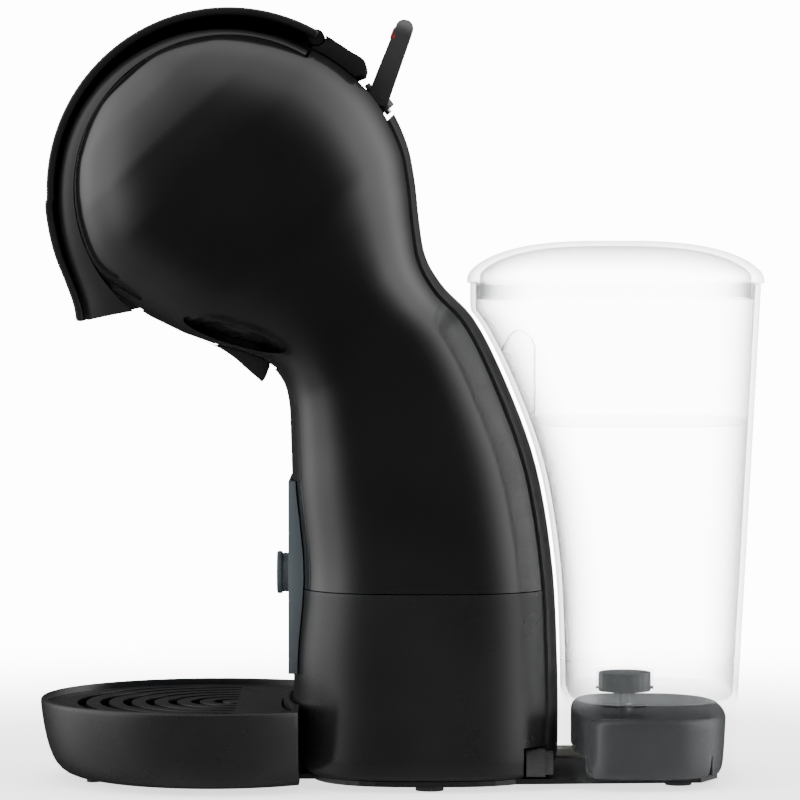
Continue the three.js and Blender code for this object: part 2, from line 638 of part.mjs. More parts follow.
const pocketShape = (inset) => slab([[20, 137 + inset], [pocketX - inset, 137 + inset],
  [pocketX - inset, 164],
  [pocketX - 2 - inset, 168.6 - inset], [pocketX - 5, 170 - inset], [20, 158 - inset]], -9 + inset, 9 - inset);
const tankOuter = tankLoft(tankBottomZ, tankTopZ, 0);
const pocket = pocketShape(0).intersect(tankOuter);
const pocketHollow = pocketShape(2);
const tank = cut(cut(tankOuter, tankWater, tankUnder).add(pocket), pocketHollow, hoseNotch,
  post(valveX, 0, portRadius, 20, 40));
add('tank', tank, clearPlastic);

const lidLevels = 6;
function lidDome(lift, shrink, height) {
  const rings = [];
  for (let k = 0; k <= lidLevels; k += 1) {
    const rise = Math.sin((Math.PI / 2) * (k / lidLevels));
    const scale = Math.max(0.04, (1 - rise ** 1.5) ** (1 / 3));
    rings.push(tankRing(tankTopZ, lidOverhang - shrink, lift + height * rise, scale));
  }
  return rings;
}
const lidBore = tankWall + gap + 1.6;   // inner edge of the plug, in from the tank's outside
const lidBaseZ = tankTopZ + gap;
const lidRimTop = lidBaseZ + lidRim;
const lidOuter = loft([tankRing(tankTopZ, lidOverhang, lidBaseZ), ...lidDome(lidRimTop, 0, lidHeight)]);
const lidInner = loft([tankRing(tankTopZ, -lidBore, lidBaseZ - 3),
  ...lidDome(lidRimTop, lidBore - gap + lidOverhang, lidHeight - lidWall)]);
const plugOuter = loft([tankRing(tankTopZ, -tankWall - gap, lidBaseZ - lidSkirt),
  tankRing(tankTopZ, -tankWall - gap, lidRimTop)]);
const plugBore = loft([tankRing(tankTopZ, -lidBore, lidBaseZ - lidSkirt - 2),
  tankRing(tankTopZ, -lidBore, lidRimTop + 2)]);
const lidPlug = cut(plugOuter, plugBore);
add('tank_lid', cut(lidOuter, lidInner).add(lidPlug), clearPlastic);

const platformRings = [[-7.6, plateTop + gap], [-4.2, plateTop + 3], [-4, platformTopZ - 1.4],
  [-5.4, platformTopZ]];
const platform = loft(platformRings.map(([offset, z]) => tankRing(Math.max(z, tankBottomZ), offset, z)));
const socket = post(valveX, 0, valveRadius + 3.4, 0, 40);
const hoseTunnel = block(55, valveX, -hoseRadius - 1, hoseRadius + 1, plateTop + 1, hoseZ + 3.5);
const underPlatform = cut(block(62, 116, -38, 38, -1, 17), post(valveX, 0, valveRadius + 6, -2, 18));
add('tank_platform', cut(platform, socket, hoseTunnel, underPlatform), darkGrey);

// ---- tank valve ---------------------------------------------------------------------------
const seatZ = tankFloorZ - gap;
const socketTopZ = 19.4;
const socketHoseWay = block(70, valveX, -hoseRadius - runGap, hoseRadius + runGap, plateTop + 3,
  hoseZ + hoseRadius + runGap);
add('tank_socket', cut(post(valveX, 0, valveRadius + 3, plateTop + 4, socketTopZ),
  post(valveX, 0, valveRadius, 8, 30), socketHoseWay), innerPlastic);
add('socket_seal', turned([[valveRadius - 1.6, 15], [valveRadius - gap, 15], [valveRadius - gap, 18.6],
  [valveRadius - 1.6, 18.6], [valveRadius - 1.6, 15]], valveX), silicone);
add('valve_plunger', joined(post(valveX, 0, 2, 20.6, 35.4, 16), post(valveX, 0, 5.2, 35, 36.6, 20)),
  innerPlastic);
const valveSeatRise = tankFloorZ + tankFloor;
add('valve_spring', tube(springPath(valveX, 0, 20.9, seatZ - 0.6, 3.1, false), 0.4, 36, 4), steel);
const filterWall = [[9, valveSeatRise + gap], [10, valveSeatRise + gap], [10, 40], [0, 40], [0, 39], [9, 39],
  [9, valveSeatRise + gap]];
add('tank_filter', turned(filterWall, valveX, 0, 24), silicone);

// ---- brewing group ------------------------------------------------------------------------
const drawerBottomZ = drawerTopZ - drawerHeight;
const podSeat = joined(post(podX, 0, podRadius, drawerBottomZ + 3, drawerTopZ + 5, 36),
  post(podX, 0, 8, drawerBottomZ - 5, drawerTopZ, 24));
const needleWay = block(podX, -20, -3, 3, drawerTopZ - needleLength - 1.5, drawerTopZ + 5);
const drawerBlock = block(drawerFrontX, drawerBackX, -drawerHalf, drawerHalf, drawerBottomZ, drawerTopZ);
const pull = slab([[drawerFrontX + 1, drawerTopZ - 4], [-114, drawerTopZ - 5], [-115.5, drawerTopZ - 9],
  [-114, drawerBottomZ + 5], [drawerFrontX + 1, drawerBottomZ + 3]], -16, 16);
const drawer = cut(joined(drawerBlock, pull), podSeat, needleWay);
add('capsule_drawer', drawer, satinBlack);
[-1, 1].forEach((sign) => {
  const name = sign > 0 ? 'drawer_rail_left' : 'drawer_rail_right';
  const near = sign > 0 ? drawerHalf + runGap : -drawerHalf - runGap - 3;
  add(name, block(railFrontX, drawerBackX, near, near + 3, drawerBottomZ + 1, drawerBottomZ + 9),
    innerPlastic);
});
const sealZ = drawerTopZ + 0.6;
const sealOuter = podRadius - 2;
const sealInner = podRadius - 8;
add('capsule_seal', turned([[sealInner, sealZ], [sealOuter, sealZ], [sealOuter, sealZ + 2.4],
  [sealInner, sealZ + 2.4], [sealInner, sealZ]], podX),
  silicone);
const injectorZ = sealZ + 2.7;
add('injector_plate', cut(post(podX, 0, podRadius - 1, injectorZ, injectorZ + injectorThickness, 36),
  post(podX, 0, 1.9, 190, 220, 12)), castAlloy);
const needleTopZ = injectorZ + injectorThickness - 1;
add('injector_needle', turned([[0, drawerTopZ - needleLength], [1.5, drawerTopZ - needleLength + 3],
  [1.5, needleTopZ], [0, needleTopZ]], podX, 0, 14), steel);

// ---- water and heat -----------------------------------------------------------------------
const heater = [-98, -46, -24, 24, 223, 247];
add('thermoblock', cut(block(...heater), block(-102, -60, -3, 3, 240, 260)), castAlloy);
const selectorValve = [-36, -17, -12, 12, 222, 242];
add('selector_valve', block(...selectorValve), innerPlastic);
const pumpX = 12;
const pumpBottomZ = 22;
const pumpTopZ = 98;
add('pump', turned([[0, pumpBottomZ - 4], [5, pumpBottomZ - 4], [5, pumpBottomZ], [14, pumpBottomZ],
  [17, pumpBottomZ + 8], [17, pumpTopZ - 26], [11, pumpTopZ - 18], [11, pumpTopZ], [5, pumpTopZ],
  [5, pumpTopZ + 4], [0, pumpTopZ + 4]], pumpX, 0, 24), castAlloy);
const mountRing = (low) => turned([[11.4, low], [19, low], [19, low + 5], [11.4, low + 5], [11.4, low]],
  pumpX, 0, 24);
add('pump_mount_upper', mountRing(pumpTopZ - 12), rubber);
add('pump_mount_lower', turned([[5.5, pumpBottomZ - 5], [18, pumpBottomZ - 5], [18, pumpBottomZ - 0.4],
  [5.5, pumpBottomZ - 0.4], [5.5, pumpBottomZ - 5]], pumpX, 0, 24), rubber);
const chassisOutline = [[42, 8], [44.4, 8], [44.4, 90], [25.5, 150], [1.4, 194], [-3.6, 219], [-5.9, 218.6],
  [-1.2, 193], [23, 149], [42, 90]];
add('chassis', cut(slab(chassisOutline, -26, 26), block(30, 60, -5, 5, 0, 15)), innerPlastic);
add('inlet_hose', tube([[valveX - valveRadius - 2, 0, hoseZ], [60, 0, hoseZ], [40, 0, hoseZ], [22, 0, hoseZ],
  [14, 0, 10.6], [pumpX, 0, 14], [pumpX, 0, pumpBottomZ - 4.3]], hoseRadius, 18), silicone);
add('pressure_hose', tube([[pumpX, 0, pumpTopZ + 4.3], [pumpX, 0, 116], [10, 0, 135], [-4, 0, 165],
  [-20, 0, 195],
  [-26, 0, 210], [-26.5, 0, 221.6]], hoseRadius, 18), silicone);
add('hot_hose', rod([-45.7, 7, 233], [-36.3, 7, 233], hoseRadius, 12), silicone);
add('cold_hose', tube([[-26, -8, 221.4], [-26.6, -8.2, 218], [-40, -11, 215.5], [-56, -13, 215.2],
  [-66, -13, 214.6]], hoseRadius - 0.6, 14), silicone);
add('brew_hose', tube([[podX - 4, 4, 222.7], [podX - 4, 4, 218], [podX - 3, 3, 214.6]], hoseRadius, 6),
  silicone);

// ---- electrics ----------------------------------------------------------------------------
add('control_board', block(-24, 6, 30, 31.6, 30, 110), boardGreen);
const glandBore = 3.1;
const gland = joined(rod([glandX - 4, glandY, glandZ], [glandX + 3, glandY, glandZ], glandBore + 2.2, 20),
  rod([glandX + 3, glandY, glandZ], [glandX + 6, glandY, glandZ], glandBore + 1.4, 20));
const glandHole = rod([glandX - 8, glandY, glandZ], [glandX + 12, glandY, glandZ], glandBore, 16);
add('cord_gland', cut(gland, glandHole), rubber);

// ---- fasteners ----------------------------------------------------------------------------
const screwSpots = [['front_left', -22, 30], ['front_right', -22, -30], ['rear_left', 38, 34],
  ['rear_right', 38, -34]];
screwSpots.forEach(([name, x, y]) => {
  const head = post(x, y, 3, plateTop + 0.3, plateTop + 2, 12);
  const shank = post(x, y, 1.4, plateTop + 1, 14, 10);
  add(`base_screw_${name}`, head.add(shank), steel);
});

export default object;
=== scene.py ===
"""Looks of the pod coffee machine: smooth casings, clear tank, drip tray and their finishes."""
import json
import math

import bpy
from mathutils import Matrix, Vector


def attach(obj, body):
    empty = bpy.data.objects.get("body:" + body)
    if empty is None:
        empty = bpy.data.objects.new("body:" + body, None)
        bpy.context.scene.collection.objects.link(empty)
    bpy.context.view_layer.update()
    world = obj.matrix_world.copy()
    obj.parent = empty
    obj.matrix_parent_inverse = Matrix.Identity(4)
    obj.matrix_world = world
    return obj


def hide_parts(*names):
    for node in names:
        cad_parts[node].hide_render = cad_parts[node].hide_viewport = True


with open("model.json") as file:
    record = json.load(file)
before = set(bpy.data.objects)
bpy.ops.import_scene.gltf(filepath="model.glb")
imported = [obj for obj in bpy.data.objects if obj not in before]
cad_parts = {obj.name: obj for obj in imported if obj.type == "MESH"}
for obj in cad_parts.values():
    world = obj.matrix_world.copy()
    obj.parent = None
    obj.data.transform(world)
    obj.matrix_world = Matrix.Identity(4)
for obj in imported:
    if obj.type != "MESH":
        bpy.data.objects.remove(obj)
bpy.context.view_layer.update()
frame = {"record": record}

MM = 0.001

# ---- sizes shared with the design, in millimetres ------------------------------------------
HEAD_X, HEAD_Z = -64, 222.9
HEAD_RADIUS = 62
HEAD_HALF_WIDTH = 68
COLUMN_HALF_WIDTH = 54
SHELL_WALL = 2.4
GAP = 0.4
RUN_GAP = 0.6
BAND_HALF = 34
BAND_RADIUS = 67.5
SEAM_Z = 73.6
BODY_BOTTOM_Z = 4.2
POLE_ANGLE = 132
POLE_ROUNDNESS = 0.585
VISOR_HALF = 37
VISOR_WALL = 3
SEAM_RADIUS, SEAM_HALF = 56.8, 39.7
DOME_HALF = 30
WEB_WALL = 2
PIVOT_ANGLE, PIVOT_RADIUS = 60, 65.3
SCOOP_X, SCOOP_Z = -61.1, 169.4
SCOOP_HALF_LENGTH, SCOOP_HALF_HEIGHT = 20, 4.2
SCOOP_TILT = math.radians(16.6)
SCOOP_DEPTH = 4
LEVER_FOOT = Vector((-8.7, 0, 257.4))
LEVER_LENGTH, LEVER_LEAN = 31.8, math.radians(20.6)
LEVER_THICKNESS, LEVER_TIP_THICKNESS, LEVER_WIDTH = 8.4, 6.8, 12
KNUCKLE_RADIUS = 2.9
BUTTON_Z = 78
BUTTON_NECK = 7.4
TRAY_X, TRAY_RADIUS, TRAY_RIM_Z = -70.8, 66, 31
TRAY_WALL = 2.2
TRAY_BACK_X = -38
GRID_TOP_Z = 28.8
GRID_THICKNESS = 2
SLOT_COUNT, SLOT_PITCH, SLOT_WIDTH = 7, 8.6, 3.4
FIRST_SLOT = 6
TANK_TOP_Z, TANK_BOTTOM_Z = 187.6, 2.4
TANK_FLOOR_Z, TANK_FLOOR = 29.4, 3
TANK_WALL = 2
TANK_TOP_X, TANK_GAP = 26.3, 2.3
FULL_DEPTH_Z = 22
VALVE_X = 85
PLATFORM_TOP_Z = 27
LID_OVERHANG, LID_RIM, LID_HEIGHT, LID_WALL = 1.2, 2.4, 13.4, 2
WATER_Z = 135.8


def on_head(angle, radius):
    """A point in the side view, by its angle round the head from the rear and its distance out."""
    turn = math.radians(angle)
    return (HEAD_X + radius * math.cos(turn), HEAD_Z + radius * math.sin(turn))


def arc(radius, start, end, steps):
    """Points on an arc round the head's centre."""
    return [on_head(start + (end - start) * k / steps, radius) for k in range(steps + 1)]


def head_section(turn):
    """A section across the round head, this many degrees down from its front pole."""
    width = HEAD_HALF_WIDTH * math.sin(math.radians(min(turn, 90))) ** POLE_ROUNDNESS
    return (on_head(POLE_ANGLE + turn, HEAD_RADIUS - max(0, turn - 80) * 0.2),
            on_head(POLE_ANGLE - turn, HEAD_RADIUS + max(0, turn - 60) * 0.12), width, 2.85)


# Sections down the body: front or lower point, rear or upper point, half width, squareness.
SECTIONS = [head_section(turn) for turn in (8, 16, 28, 44, 62, 80, 98)] + [
    ((-85, 169.4), (1.5, 240.5), 66.5, 3),
    ((-72.1, 164.6), (4.6, 226), 63, 3),
    ((-59.5, 161.4), (6.3, 210.5), 59.5, 3),
    ((-49.3, 156.8), (8.8, 197), 56.8, 3),
    ((-44.4, 150.8), (15, 186.5), 55, 3),
    ((-42.4, 143.5), (26.6, 174.3), 54, 3),
    ((-41.6, 128), (40.6, 146.2), 53.6, 3),
    ((-41, 112), (50.3, 118.5), COLUMN_HALF_WIDTH, 3),
    ((-38.2, 80), (56.4, 82), COLUMN_HALF_WIDTH, 3),
    ((-40.4, 48), (58.3, 48), COLUMN_HALF_WIDTH, 3),
    ((-40.6, 22), (58.6, 22), COLUMN_HALF_WIDTH, 3),
    ((-40, 11), (58.2, 11), COLUMN_HALF_WIDTH - 0.6, 3),
    ((-37.6, 6), (56.6, 6), COLUMN_HALF_WIDTH - 2.4, 3),
    ((-35, BODY_BOTTOM_Z), (54.4, BODY_BOTTOM_Z), COLUMN_HALF_WIDTH - 5, 3)]


def power(value, exponent):
    return math.copysign(abs(value) ** exponent, value)


def smooth_through(points, t):
    """A point on the centripetal Catmull-Rom curve through the points, t from 0 to 1."""
    last = len(points) - 1
    place = min(max(t, 0), 1) * last
    i = min(int(place), last - 1)
    w = place - i
    b, c = Vector(points[i]), Vector(points[i + 1])
    a = Vector(points[i - 1]) if i > 0 else 2 * b - c
    d = Vector(points[i + 2]) if i < last - 1 else 2 * c - b
    ab, bc, cd = ((q - p).length ** 0.5 for p, q in ((a, b), (b, c), (c, d)))
    bc = bc or 1
    ab, cd = ab or bc, cd or bc
    start = ((b - a) / ab - (c - a) / (ab + bc) + (c - b) / bc) * bc
    end = ((c - b) / bc - (d - b) / (bc + cd) + (d - c) / cd) * bc
    return (b + start * w + (-3 * b + 3 * c - 2 * start - end) * w * w
            + (2 * b - 2 * c + start + end) * w ** 3)


FRONT_LINE = [(front[0], 0, front[1]) for front, rear, half, square in SECTIONS]
REAR_LINE = [(rear[0], 0, rear[1]) for front, rear, half, square in SECTIONS]
GIRTH_LINE = [(half, square, 0) for front, rear, half, square in SECTIONS]


def body_point(t, angle, offset):
    """A point on the body's skin: t runs from the head's front to the ground, angle round it."""
    front, rear = smooth_through(FRONT_LINE, t), smooth_through(REAR_LINE, t)
    half, square = smooth_through(GIRTH_LINE, t)[:2]
    middle = (front + rear) / 2
    across = (rear - front).normalized()
    turn = math.radians(angle)
    reach = ((rear - front).length / 2 + offset) * power(math.cos(turn), 2 / square)
    side = (half + offset) * power(math.sin(turn), 2 / square)
    point = middle + across * reach
    return Vector((point.x, side, point.z)) * MM


def rear_at(z):
    """How far back the body reaches at a height."""
    low, high = 0.5, 1
    for _ in range(30):
        t = (low + high) / 2
        if smooth_through(REAR_LINE, t).z > z:
            low = t
        else:
            high = t
    return smooth_through(REAR_LINE, low).x


# ---- bench tools --------------------------------------------------------------------------
def deselect():
    bpy.ops.object.select_all(action="DESELECT")


def pick(piece):
    deselect()
    piece.select_set(True)
    bpy.context.view_layer.objects.active = piece


def settle(piece, name):
    """Leaves the piece's place in its mesh, with the object at the origin."""
    pick(piece)
    bpy.ops.object.transform_apply(location=True, rotation=True, scale=True)
    piece.name = name
    piece.data.name = name
    return piece


def finish_with(piece, kind, **settings):
    pick(piece)
    modifier = piece.modifiers.new(kind.title(), kind)
    for key, value in settings.items():
        setattr(modifier, key, value)
    bpy.ops.object.modifier_apply(modifier=modifier.name)
    return piece


def edit(piece):
    pick(piece)
    bpy.ops.object.mode_set(mode="EDIT")
    bpy.ops.mesh.select_all(action="SELECT")


def done():
    bpy.ops.object.mode_set(mode="OBJECT")


def outward(piece):
    edit(piece)
    bpy.ops.mesh.remove_doubles(threshold=0.00001)
    bpy.ops.mesh.normals_make_consistent(inside=False)
    done()


def round_edges(piece, width, segments=3, angle=40):
    finish_with(piece, "BEVEL", width=width * MM, segments=segments, limit_method="ANGLE",
                angle_limit=math.radians(angle), harden_normals=False)


def smooth(piece, angle=38):
    pick(piece)
    bpy.ops.object.shade_smooth_by_angle(angle=math.radians(angle))


def carve(piece, *tools, operation="DIFFERENCE"):
    for tool in tools:
        finish_with(piece, "BOOLEAN", object=tool, operation=operation, solver="EXACT")
        bpy.data.objects.remove(tool, do_unlink=True)


def cutter(x0, x1, y0, y1, z0, z1):
    deselect()
    bpy.ops.mesh.primitive_cube_add(size=1)
    box = bpy.context.object
    box.location = (MM * (x0 + x1) / 2, MM * (y0 + y1) / 2, MM * (z0 + z1) / 2)
    box.scale = (MM * (x1 - x0), MM * (y1 - y0), MM * (z1 - z0))
    return settle(box, "cutter")


def rod(start, end, radius, sides=64, name="rod"):
    a, b = Vector(start) * MM, Vector(end) * MM
    deselect()
    bpy.ops.mesh.primitive_cylinder_add(vertices=sides, radius=radius * MM, depth=(b - a).length,
                                        location=(a + b) / 2)
    piece = bpy.context.object
    piece.rotation_mode = "QUATERNION"
    piece.rotation_quaternion = (b - a).to_track_quat("Z", "Y")
    return settle(piece, name)


def bent_grid(name, place, rows, columns, closed=False):
    """A grid whose every vertex goes to place(u, v), with u and v from 0 to 1."""
    deselect()
    bpy.ops.mesh.primitive_grid_add(x_subdivisions=rows, y_subdivisions=columns, size=2)
    piece = settle(bpy.context.object, name)
    for vertex in piece.data.vertices:
        vertex.co = place((vertex.co.x + 1) / 2, (vertex.co.y + 1) / 2)
    if closed:
        close_ends(piece)
    return piece


def close_ends(piece):
    edit(piece)
    bpy.ops.mesh.remove_doubles(threshold=0.00001)
    bpy.ops.mesh.select_all(action="DESELECT")
    bpy.ops.mesh.select_mode(type="EDGE")
    bpy.ops.mesh.select_non_manifold()
    bpy.ops.mesh.fill_holes(sides=0)
    bpy.ops.mesh.select_mode(type="VERT")
    bpy.ops.mesh.select_all(action="SELECT")
    bpy.ops.mesh.normals_make_consistent(inside=False)
    done()


def trim(piece, point, normal):
    """Cuts away what lies on the side that the normal points to."""
    edit(piece)
    bpy.ops.mesh.bisect(plane_co=Vector(point) * MM, plane_no=normal, clear_outer=True)
    done()


def plate(name, outline, y0, y1):
    """An outline of (x, z) points, extruded across the machine from y0 to y1."""
    deselect()
    bpy.ops.mesh.primitive_circle_add(vertices=len(outline), radius=1, fill_type="NGON")
    piece = settle(bpy.context.object, name)
    for vertex, (x, z) in zip(piece.data.vertices, outline):
        vertex.co = Vector((x, y0, z)) * MM
    edit(piece)
    bpy.ops.mesh.extrude_region_move(TRANSFORM_OT_translate={"value": (0, (y1 - y0) * MM, 0)})
    done()
    outward(piece)
    return piece


def turned(name, profile, x, sides=128):
    """A turned piece about an upright axis: a circle extruded and resized up its profile."""
    first = profile[0]
    centre = (x * MM, 0, 0)
    deselect()
    bpy.ops.mesh.primitive_circle_add(vertices=sides, radius=first[0] * MM,
                                      location=(x * MM, 0, first[1] * MM))
    piece = settle(bpy.context.object, name)
    edit(piece)
    for (r0, z0), (r1, z1) in zip(profile, profile[1:]):
        bpy.ops.mesh.extrude_edges_move(TRANSFORM_OT_translate={"value": (0, 0, (z1 - z0) * MM)})
        bpy.ops.transform.resize(value=(r1 / r0, r1 / r0, 1), center_override=centre)
    done()
    close_ends(piece)
    return piece


def seat(piece, body, finish, slot, *nodes):
    """Gives a finished piece its finish and its body, and hides the nodes it stands for; the slot is not
    used.
    """
    piece.data.materials.clear()
    piece.data.materials.append(finish)
    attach(piece, body)
    if nodes:
        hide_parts(*nodes)
    return piece


# ---- finishes -----------------------------------------------------------------------------
def math_node(tree, operation, first, second=None):
    node = tree.nodes.new("ShaderNodeMath")
    node.operation = operation
    for socket, value in zip(node.inputs, (first, second)):
        if isinstance(value, (int, float)):
            socket.default_value = value
        elif value is not None:
            tree.links.new(value, socket)
    return node.outputs[0]


def ramp_node(tree, value, low, high, at_low, at_high):
    node = tree.nodes.new("ShaderNodeMapRange")
    node.interpolation_type = "SMOOTHSTEP"
    for name, number in (("From Min", low), ("From Max", high), ("To Min", at_low), ("To Max", at_high)):
        node.inputs[name].default_value = number
    tree.links.new(value, node.inputs["Value"])
    return node.outputs["Result"]


def new_finish(name, colour, roughness, **sockets):
    finish = bpy.data.materials.new(name)
    finish.use_nodes = True
    shader = finish.node_tree.nodes["Principled BSDF"]
    shader.inputs["Base Color"].default_value = (*colour, 1)
    shader.inputs["Roughness"].default_value = roughness
    for socket, value in sockets.items():
        shader.inputs[socket.replace("_", " ")].default_value = value
    return finish


def noise(finish, scale, detail=4):
    """Noise laid over the piece in its own place, with scale in cells to the metre."""
    nodes, links = finish.node_tree.nodes, finish.node_tree.links
    place = nodes.new("ShaderNodeTexCoord")
    texture = nodes.new("ShaderNodeTexNoise")
    texture.inputs["Scale"].default_value = scale
    texture.inputs["Detail"].default_value = detail
    links.new(place.outputs["Object"], texture.inputs["Vector"])
    return texture


def grain(finish, scale, strength, distance=0.0001):
    """A fine raised grain on the surface."""
    nodes, links = finish.node_tree.nodes, finish.node_tree.links
    bump = nodes.new("ShaderNodeBump")
    bump.inputs["Strength"].default_value = strength
    bump.inputs["Distance"].default_value = distance
    links.new(noise(finish, scale).outputs["Fac"], bump.inputs["Height"])
    links.new(bump.outputs["Normal"], nodes["Principled BSDF"].inputs["Normal"])


def spread(finish, socket, scale, low, high):
    """Lets a socket drift from low to high in soft patches."""
    nodes, links = finish.node_tree.nodes, finish.node_tree.links
    ramp = nodes.new("ShaderNodeMapRange")
    ramp.inputs["From Min"].default_value = 0.3
    ramp.inputs["From Max"].default_value = 0.7
    ramp.inputs["To Min"].default_value = low
    ramp.inputs["To Max"].default_value = high
    links.new(noise(finish, scale, 3).outputs["Fac"], ramp.inputs["Value"])
    links.new(ramp.outputs["Result"], nodes["Principled BSDF"].inputs[socket])


def tint(finish, scale, dark, light):
    """Lets the colour drift between two close shades."""
    nodes, links = finish.node_tree.nodes, finish.node_tree.links
    ramp = nodes.new("ShaderNodeValToRGB")
    ramp.color_ramp.elements[0].position = 0.35
    ramp.color_ramp.elements[0].color = (*dark, 1)
    ramp.color_ramp.elements[1].position = 0.65
    ramp.color_ramp.elements[1].color = (*light, 1)
    links.new(noise(finish, scale, 3).outputs["Fac"], ramp.inputs["Fac"])
    links.new(ramp.outputs["Color"], nodes["Principled BSDF"].inputs["Base Color"])


def moulded(name, dark, light, roughness, grain_scale, grain_strength, **sockets):
    finish = new_finish(name, light, sum(roughness) / 2, **sockets)
    tint(finish, 25, dark, light)
    spread(finish, "Roughness", 60, *roughness)
    grain(finish, grain_scale, grain_strength)
    return finish


GLOSS_BLACK = moulded("gloss_black_abs", (0.0045, 0.0045, 0.005), (0.006, 0.006, 0.0065),
                      (0.13, 0.17), 260, 0.012, Coat_Weight=0.3, Coat_Roughness=0.06)
SATIN_BLACK = moulded("satin_black_abs", (0.0075, 0.0075, 0.008), (0.011, 0.011, 0.0115),
                      (0.36, 0.42), 3200, 0.10)
TRAY_BLACK = moulded("tray_black_abs", (0.006, 0.006, 0.0065), (0.0085, 0.0085, 0.009),
                     (0.24, 0.3), 2600, 0.06)
PLATFORM_GREY = moulded("platform_grey_abs", (0.024, 0.025, 0.027), (0.029, 0.03, 0.032),
                        (0.2, 0.24), 2600, 0.02)
LEVER_GREY = moulded("lever_grey_abs", (0.045, 0.045, 0.046), (0.052, 0.052, 0.053), (0.28, 0.34), 2600, 0.04)
SLATE_GREY = moulded("slate_grey_abs", (0.068, 0.083, 0.093), (0.078, 0.094, 0.105),
                     (0.33, 0.4), 3000, 0.08)
RUBBER = moulded("matt_rubber", (0.012, 0.012, 0.012), (0.02, 0.02, 0.02), (0.8, 0.9), 1500, 0.3)
SILICONE = moulded("milky_silicone", (0.52, 0.5, 0.45), (0.62, 0.6, 0.54), (0.4, 0.5), 900, 0.08)
INNER_PLASTIC = moulded("inner_moulding", (0.1, 0.105, 0.11), (0.13, 0.135, 0.14), (0.5, 0.6), 2000, 0.15)
STEEL = moulded("bright_steel", (0.5, 0.51, 0.53), (0.6, 0.61, 0.63), (0.18, 0.3), 1800, 0.05, Metallic=1)
CAST_ALLOY = moulded("cast_alloy", (0.4, 0.41, 0.42), (0.5, 0.51, 0.52), (0.42, 0.6), 900, 0.35, Metallic=1)
BOARD_GREEN = moulded("solder_mask", (0.01, 0.09, 0.035), (0.02, 0.13, 0.05), (0.3, 0.4), 1200, 0.05)
RED_MARK = moulded("red_mark", (0.6, 0.012, 0.012), (0.7, 0.018, 0.016), (0.3, 0.36), 2000, 0.04)
SKIRT_BLACK = moulded("skirt_black_abs", (0.0055, 0.0055, 0.006), (0.0075, 0.0075, 0.008),
                      (0.27, 0.31), 2600, 0.04)


def clear(name, colour, roughness, low, edge, wall):
    """See-through face on, milky where a wall runs along the line of sight, and with a painted shade on walls
    that face the column close beside it.
    """
    finish = new_finish(name, colour, roughness)
    tree = finish.node_tree
    nodes, links = tree.nodes, tree.links
    weight = nodes.new("ShaderNodeLayerWeight")
    weight.inputs["Blend"].default_value = 0.5
    place = nodes.new("ShaderNodeTexCoord")
    split = nodes.new("ShaderNodeSeparateXYZ")
    links.new(place.outputs["Object"], split.inputs[0])
    steep = math_node(tree, "MULTIPLY", math_node(tree, "POWER", weight.outputs["Facing"], 2.5), edge)
    above_floor = ramp_node(tree, split.outputs[2], 0.029, 0.036, 0.05, 1.0)
    facing_column = nodes.new("ShaderNodeSeparateXYZ")
    links.new(place.outputs["Normal"], facing_column.inputs[0])
    # Painted shade: walls that face the column and stand close to it are made more opaque, so they show as a
    # grey band beside the column; wall sets how strong it is.
    front = ramp_node(tree, facing_column.outputs[0], -0.2, -0.9, 0.0, wall)
    column_shade_zone = ramp_node(tree, split.outputs[0], 0.072, 0.08, 1.0, 0.0)
    painted_shade_and_haze = math_node(tree, "ADD", math_node(tree, "MULTIPLY", front, column_shade_zone), low)
    alpha = math_node(tree, "MULTIPLY", math_node(tree, "ADD", steep, painted_shade_and_haze), above_floor)
    links.new(alpha, nodes["Principled BSDF"].inputs["Alpha"])
    grain(finish, 90, 0.004)
    return finish


# The last number is the strength of the painted shade on the tank walls beside the column.
CLEAR_SAN = clear("clear_san", (0.6, 0.62, 0.63), 0.12, 0.03, 0.55, 0.16)
WATER = clear("water", (0.5, 0.55, 0.58), 0.05, 0.015, 0.2, 0)


# ---- casings ------------------------------------------------------------------------------
def button_way():
    """The hole that the button's neck runs in."""
    return rod((-60, 0, BUTTON_Z), (-30, 0, BUTTON_Z), BUTTON_NECK + RUN_GAP)


def body_sheet(name, offset, along, around, rows, columns):
    def place(u, v):
        return body_point(along[0] + (along[1] - along[0]) * u,
                          around[0] + (around[1] - around[0]) * v, offset)
    return bent_grid(name, place, rows, columns)


def body_solid(offset, along=(0, 1)):
    sheet = body_sheet("cutter", offset, along, (0, 360), 90, 96)
    close_ends(sheet)
    return sheet


def thicken(sheet, wall, facing):
    """Gives a sheet its wall on the inner side; facing is a direction that its outside has."""
    outward(sheet)
    total = sum((p.normal * p.area for p in sheet.data.polygons), Vector())
    if total.dot(Vector(facing)) < 0:
        edit(sheet)
        bpy.ops.mesh.flip_normals()
        done()
    finish_with(sheet, "SOLIDIFY", thickness=wall * MM, offset=-1)


def mirrored(piece, name):
    pick(piece)
    bpy.ops.object.duplicate()
    copy = bpy.context.object
    copy.scale = (1, -1, 1)
    settle(copy, name)
    outward(copy)
    return copy


def scoop_oval(grow, shrink=1.0):
    outline = []
    for k in range(72):
        turn = 2 * math.pi * k / 72
        along = (SCOOP_HALF_LENGTH + grow) * shrink * math.cos(turn)
        up = (SCOOP_HALF_HEIGHT + grow) * shrink * math.sin(turn)
        outline.append((SCOOP_X + along * math.cos(SCOOP_TILT) + up * math.sin(SCOOP_TILT),
                        SCOOP_Z - along * math.sin(SCOOP_TILT) + up * math.cos(SCOOP_TILT)))
    return plate("cutter", outline, BAND_HALF + GAP, 80)


def add_scoop(cheek):
    """Sinks a stepped oval scoop into the lower edge of a cheek."""
    pan = scoop_oval(1.4)
    carve(pan, body_solid(0), operation="INTERSECT")
    carve(pan, body_solid(-SCOOP_DEPTH - 1.4))
    carve(cheek, pan, operation="UNION")
    for depth, shrink in ((1.6, 1.0), (2.8, 0.86), (SCOOP_DEPTH, 0.7)):
        hollow = scoop_oval(0, shrink)
        carve(hollow, body_solid(-depth))
        carve(cheek, hollow)


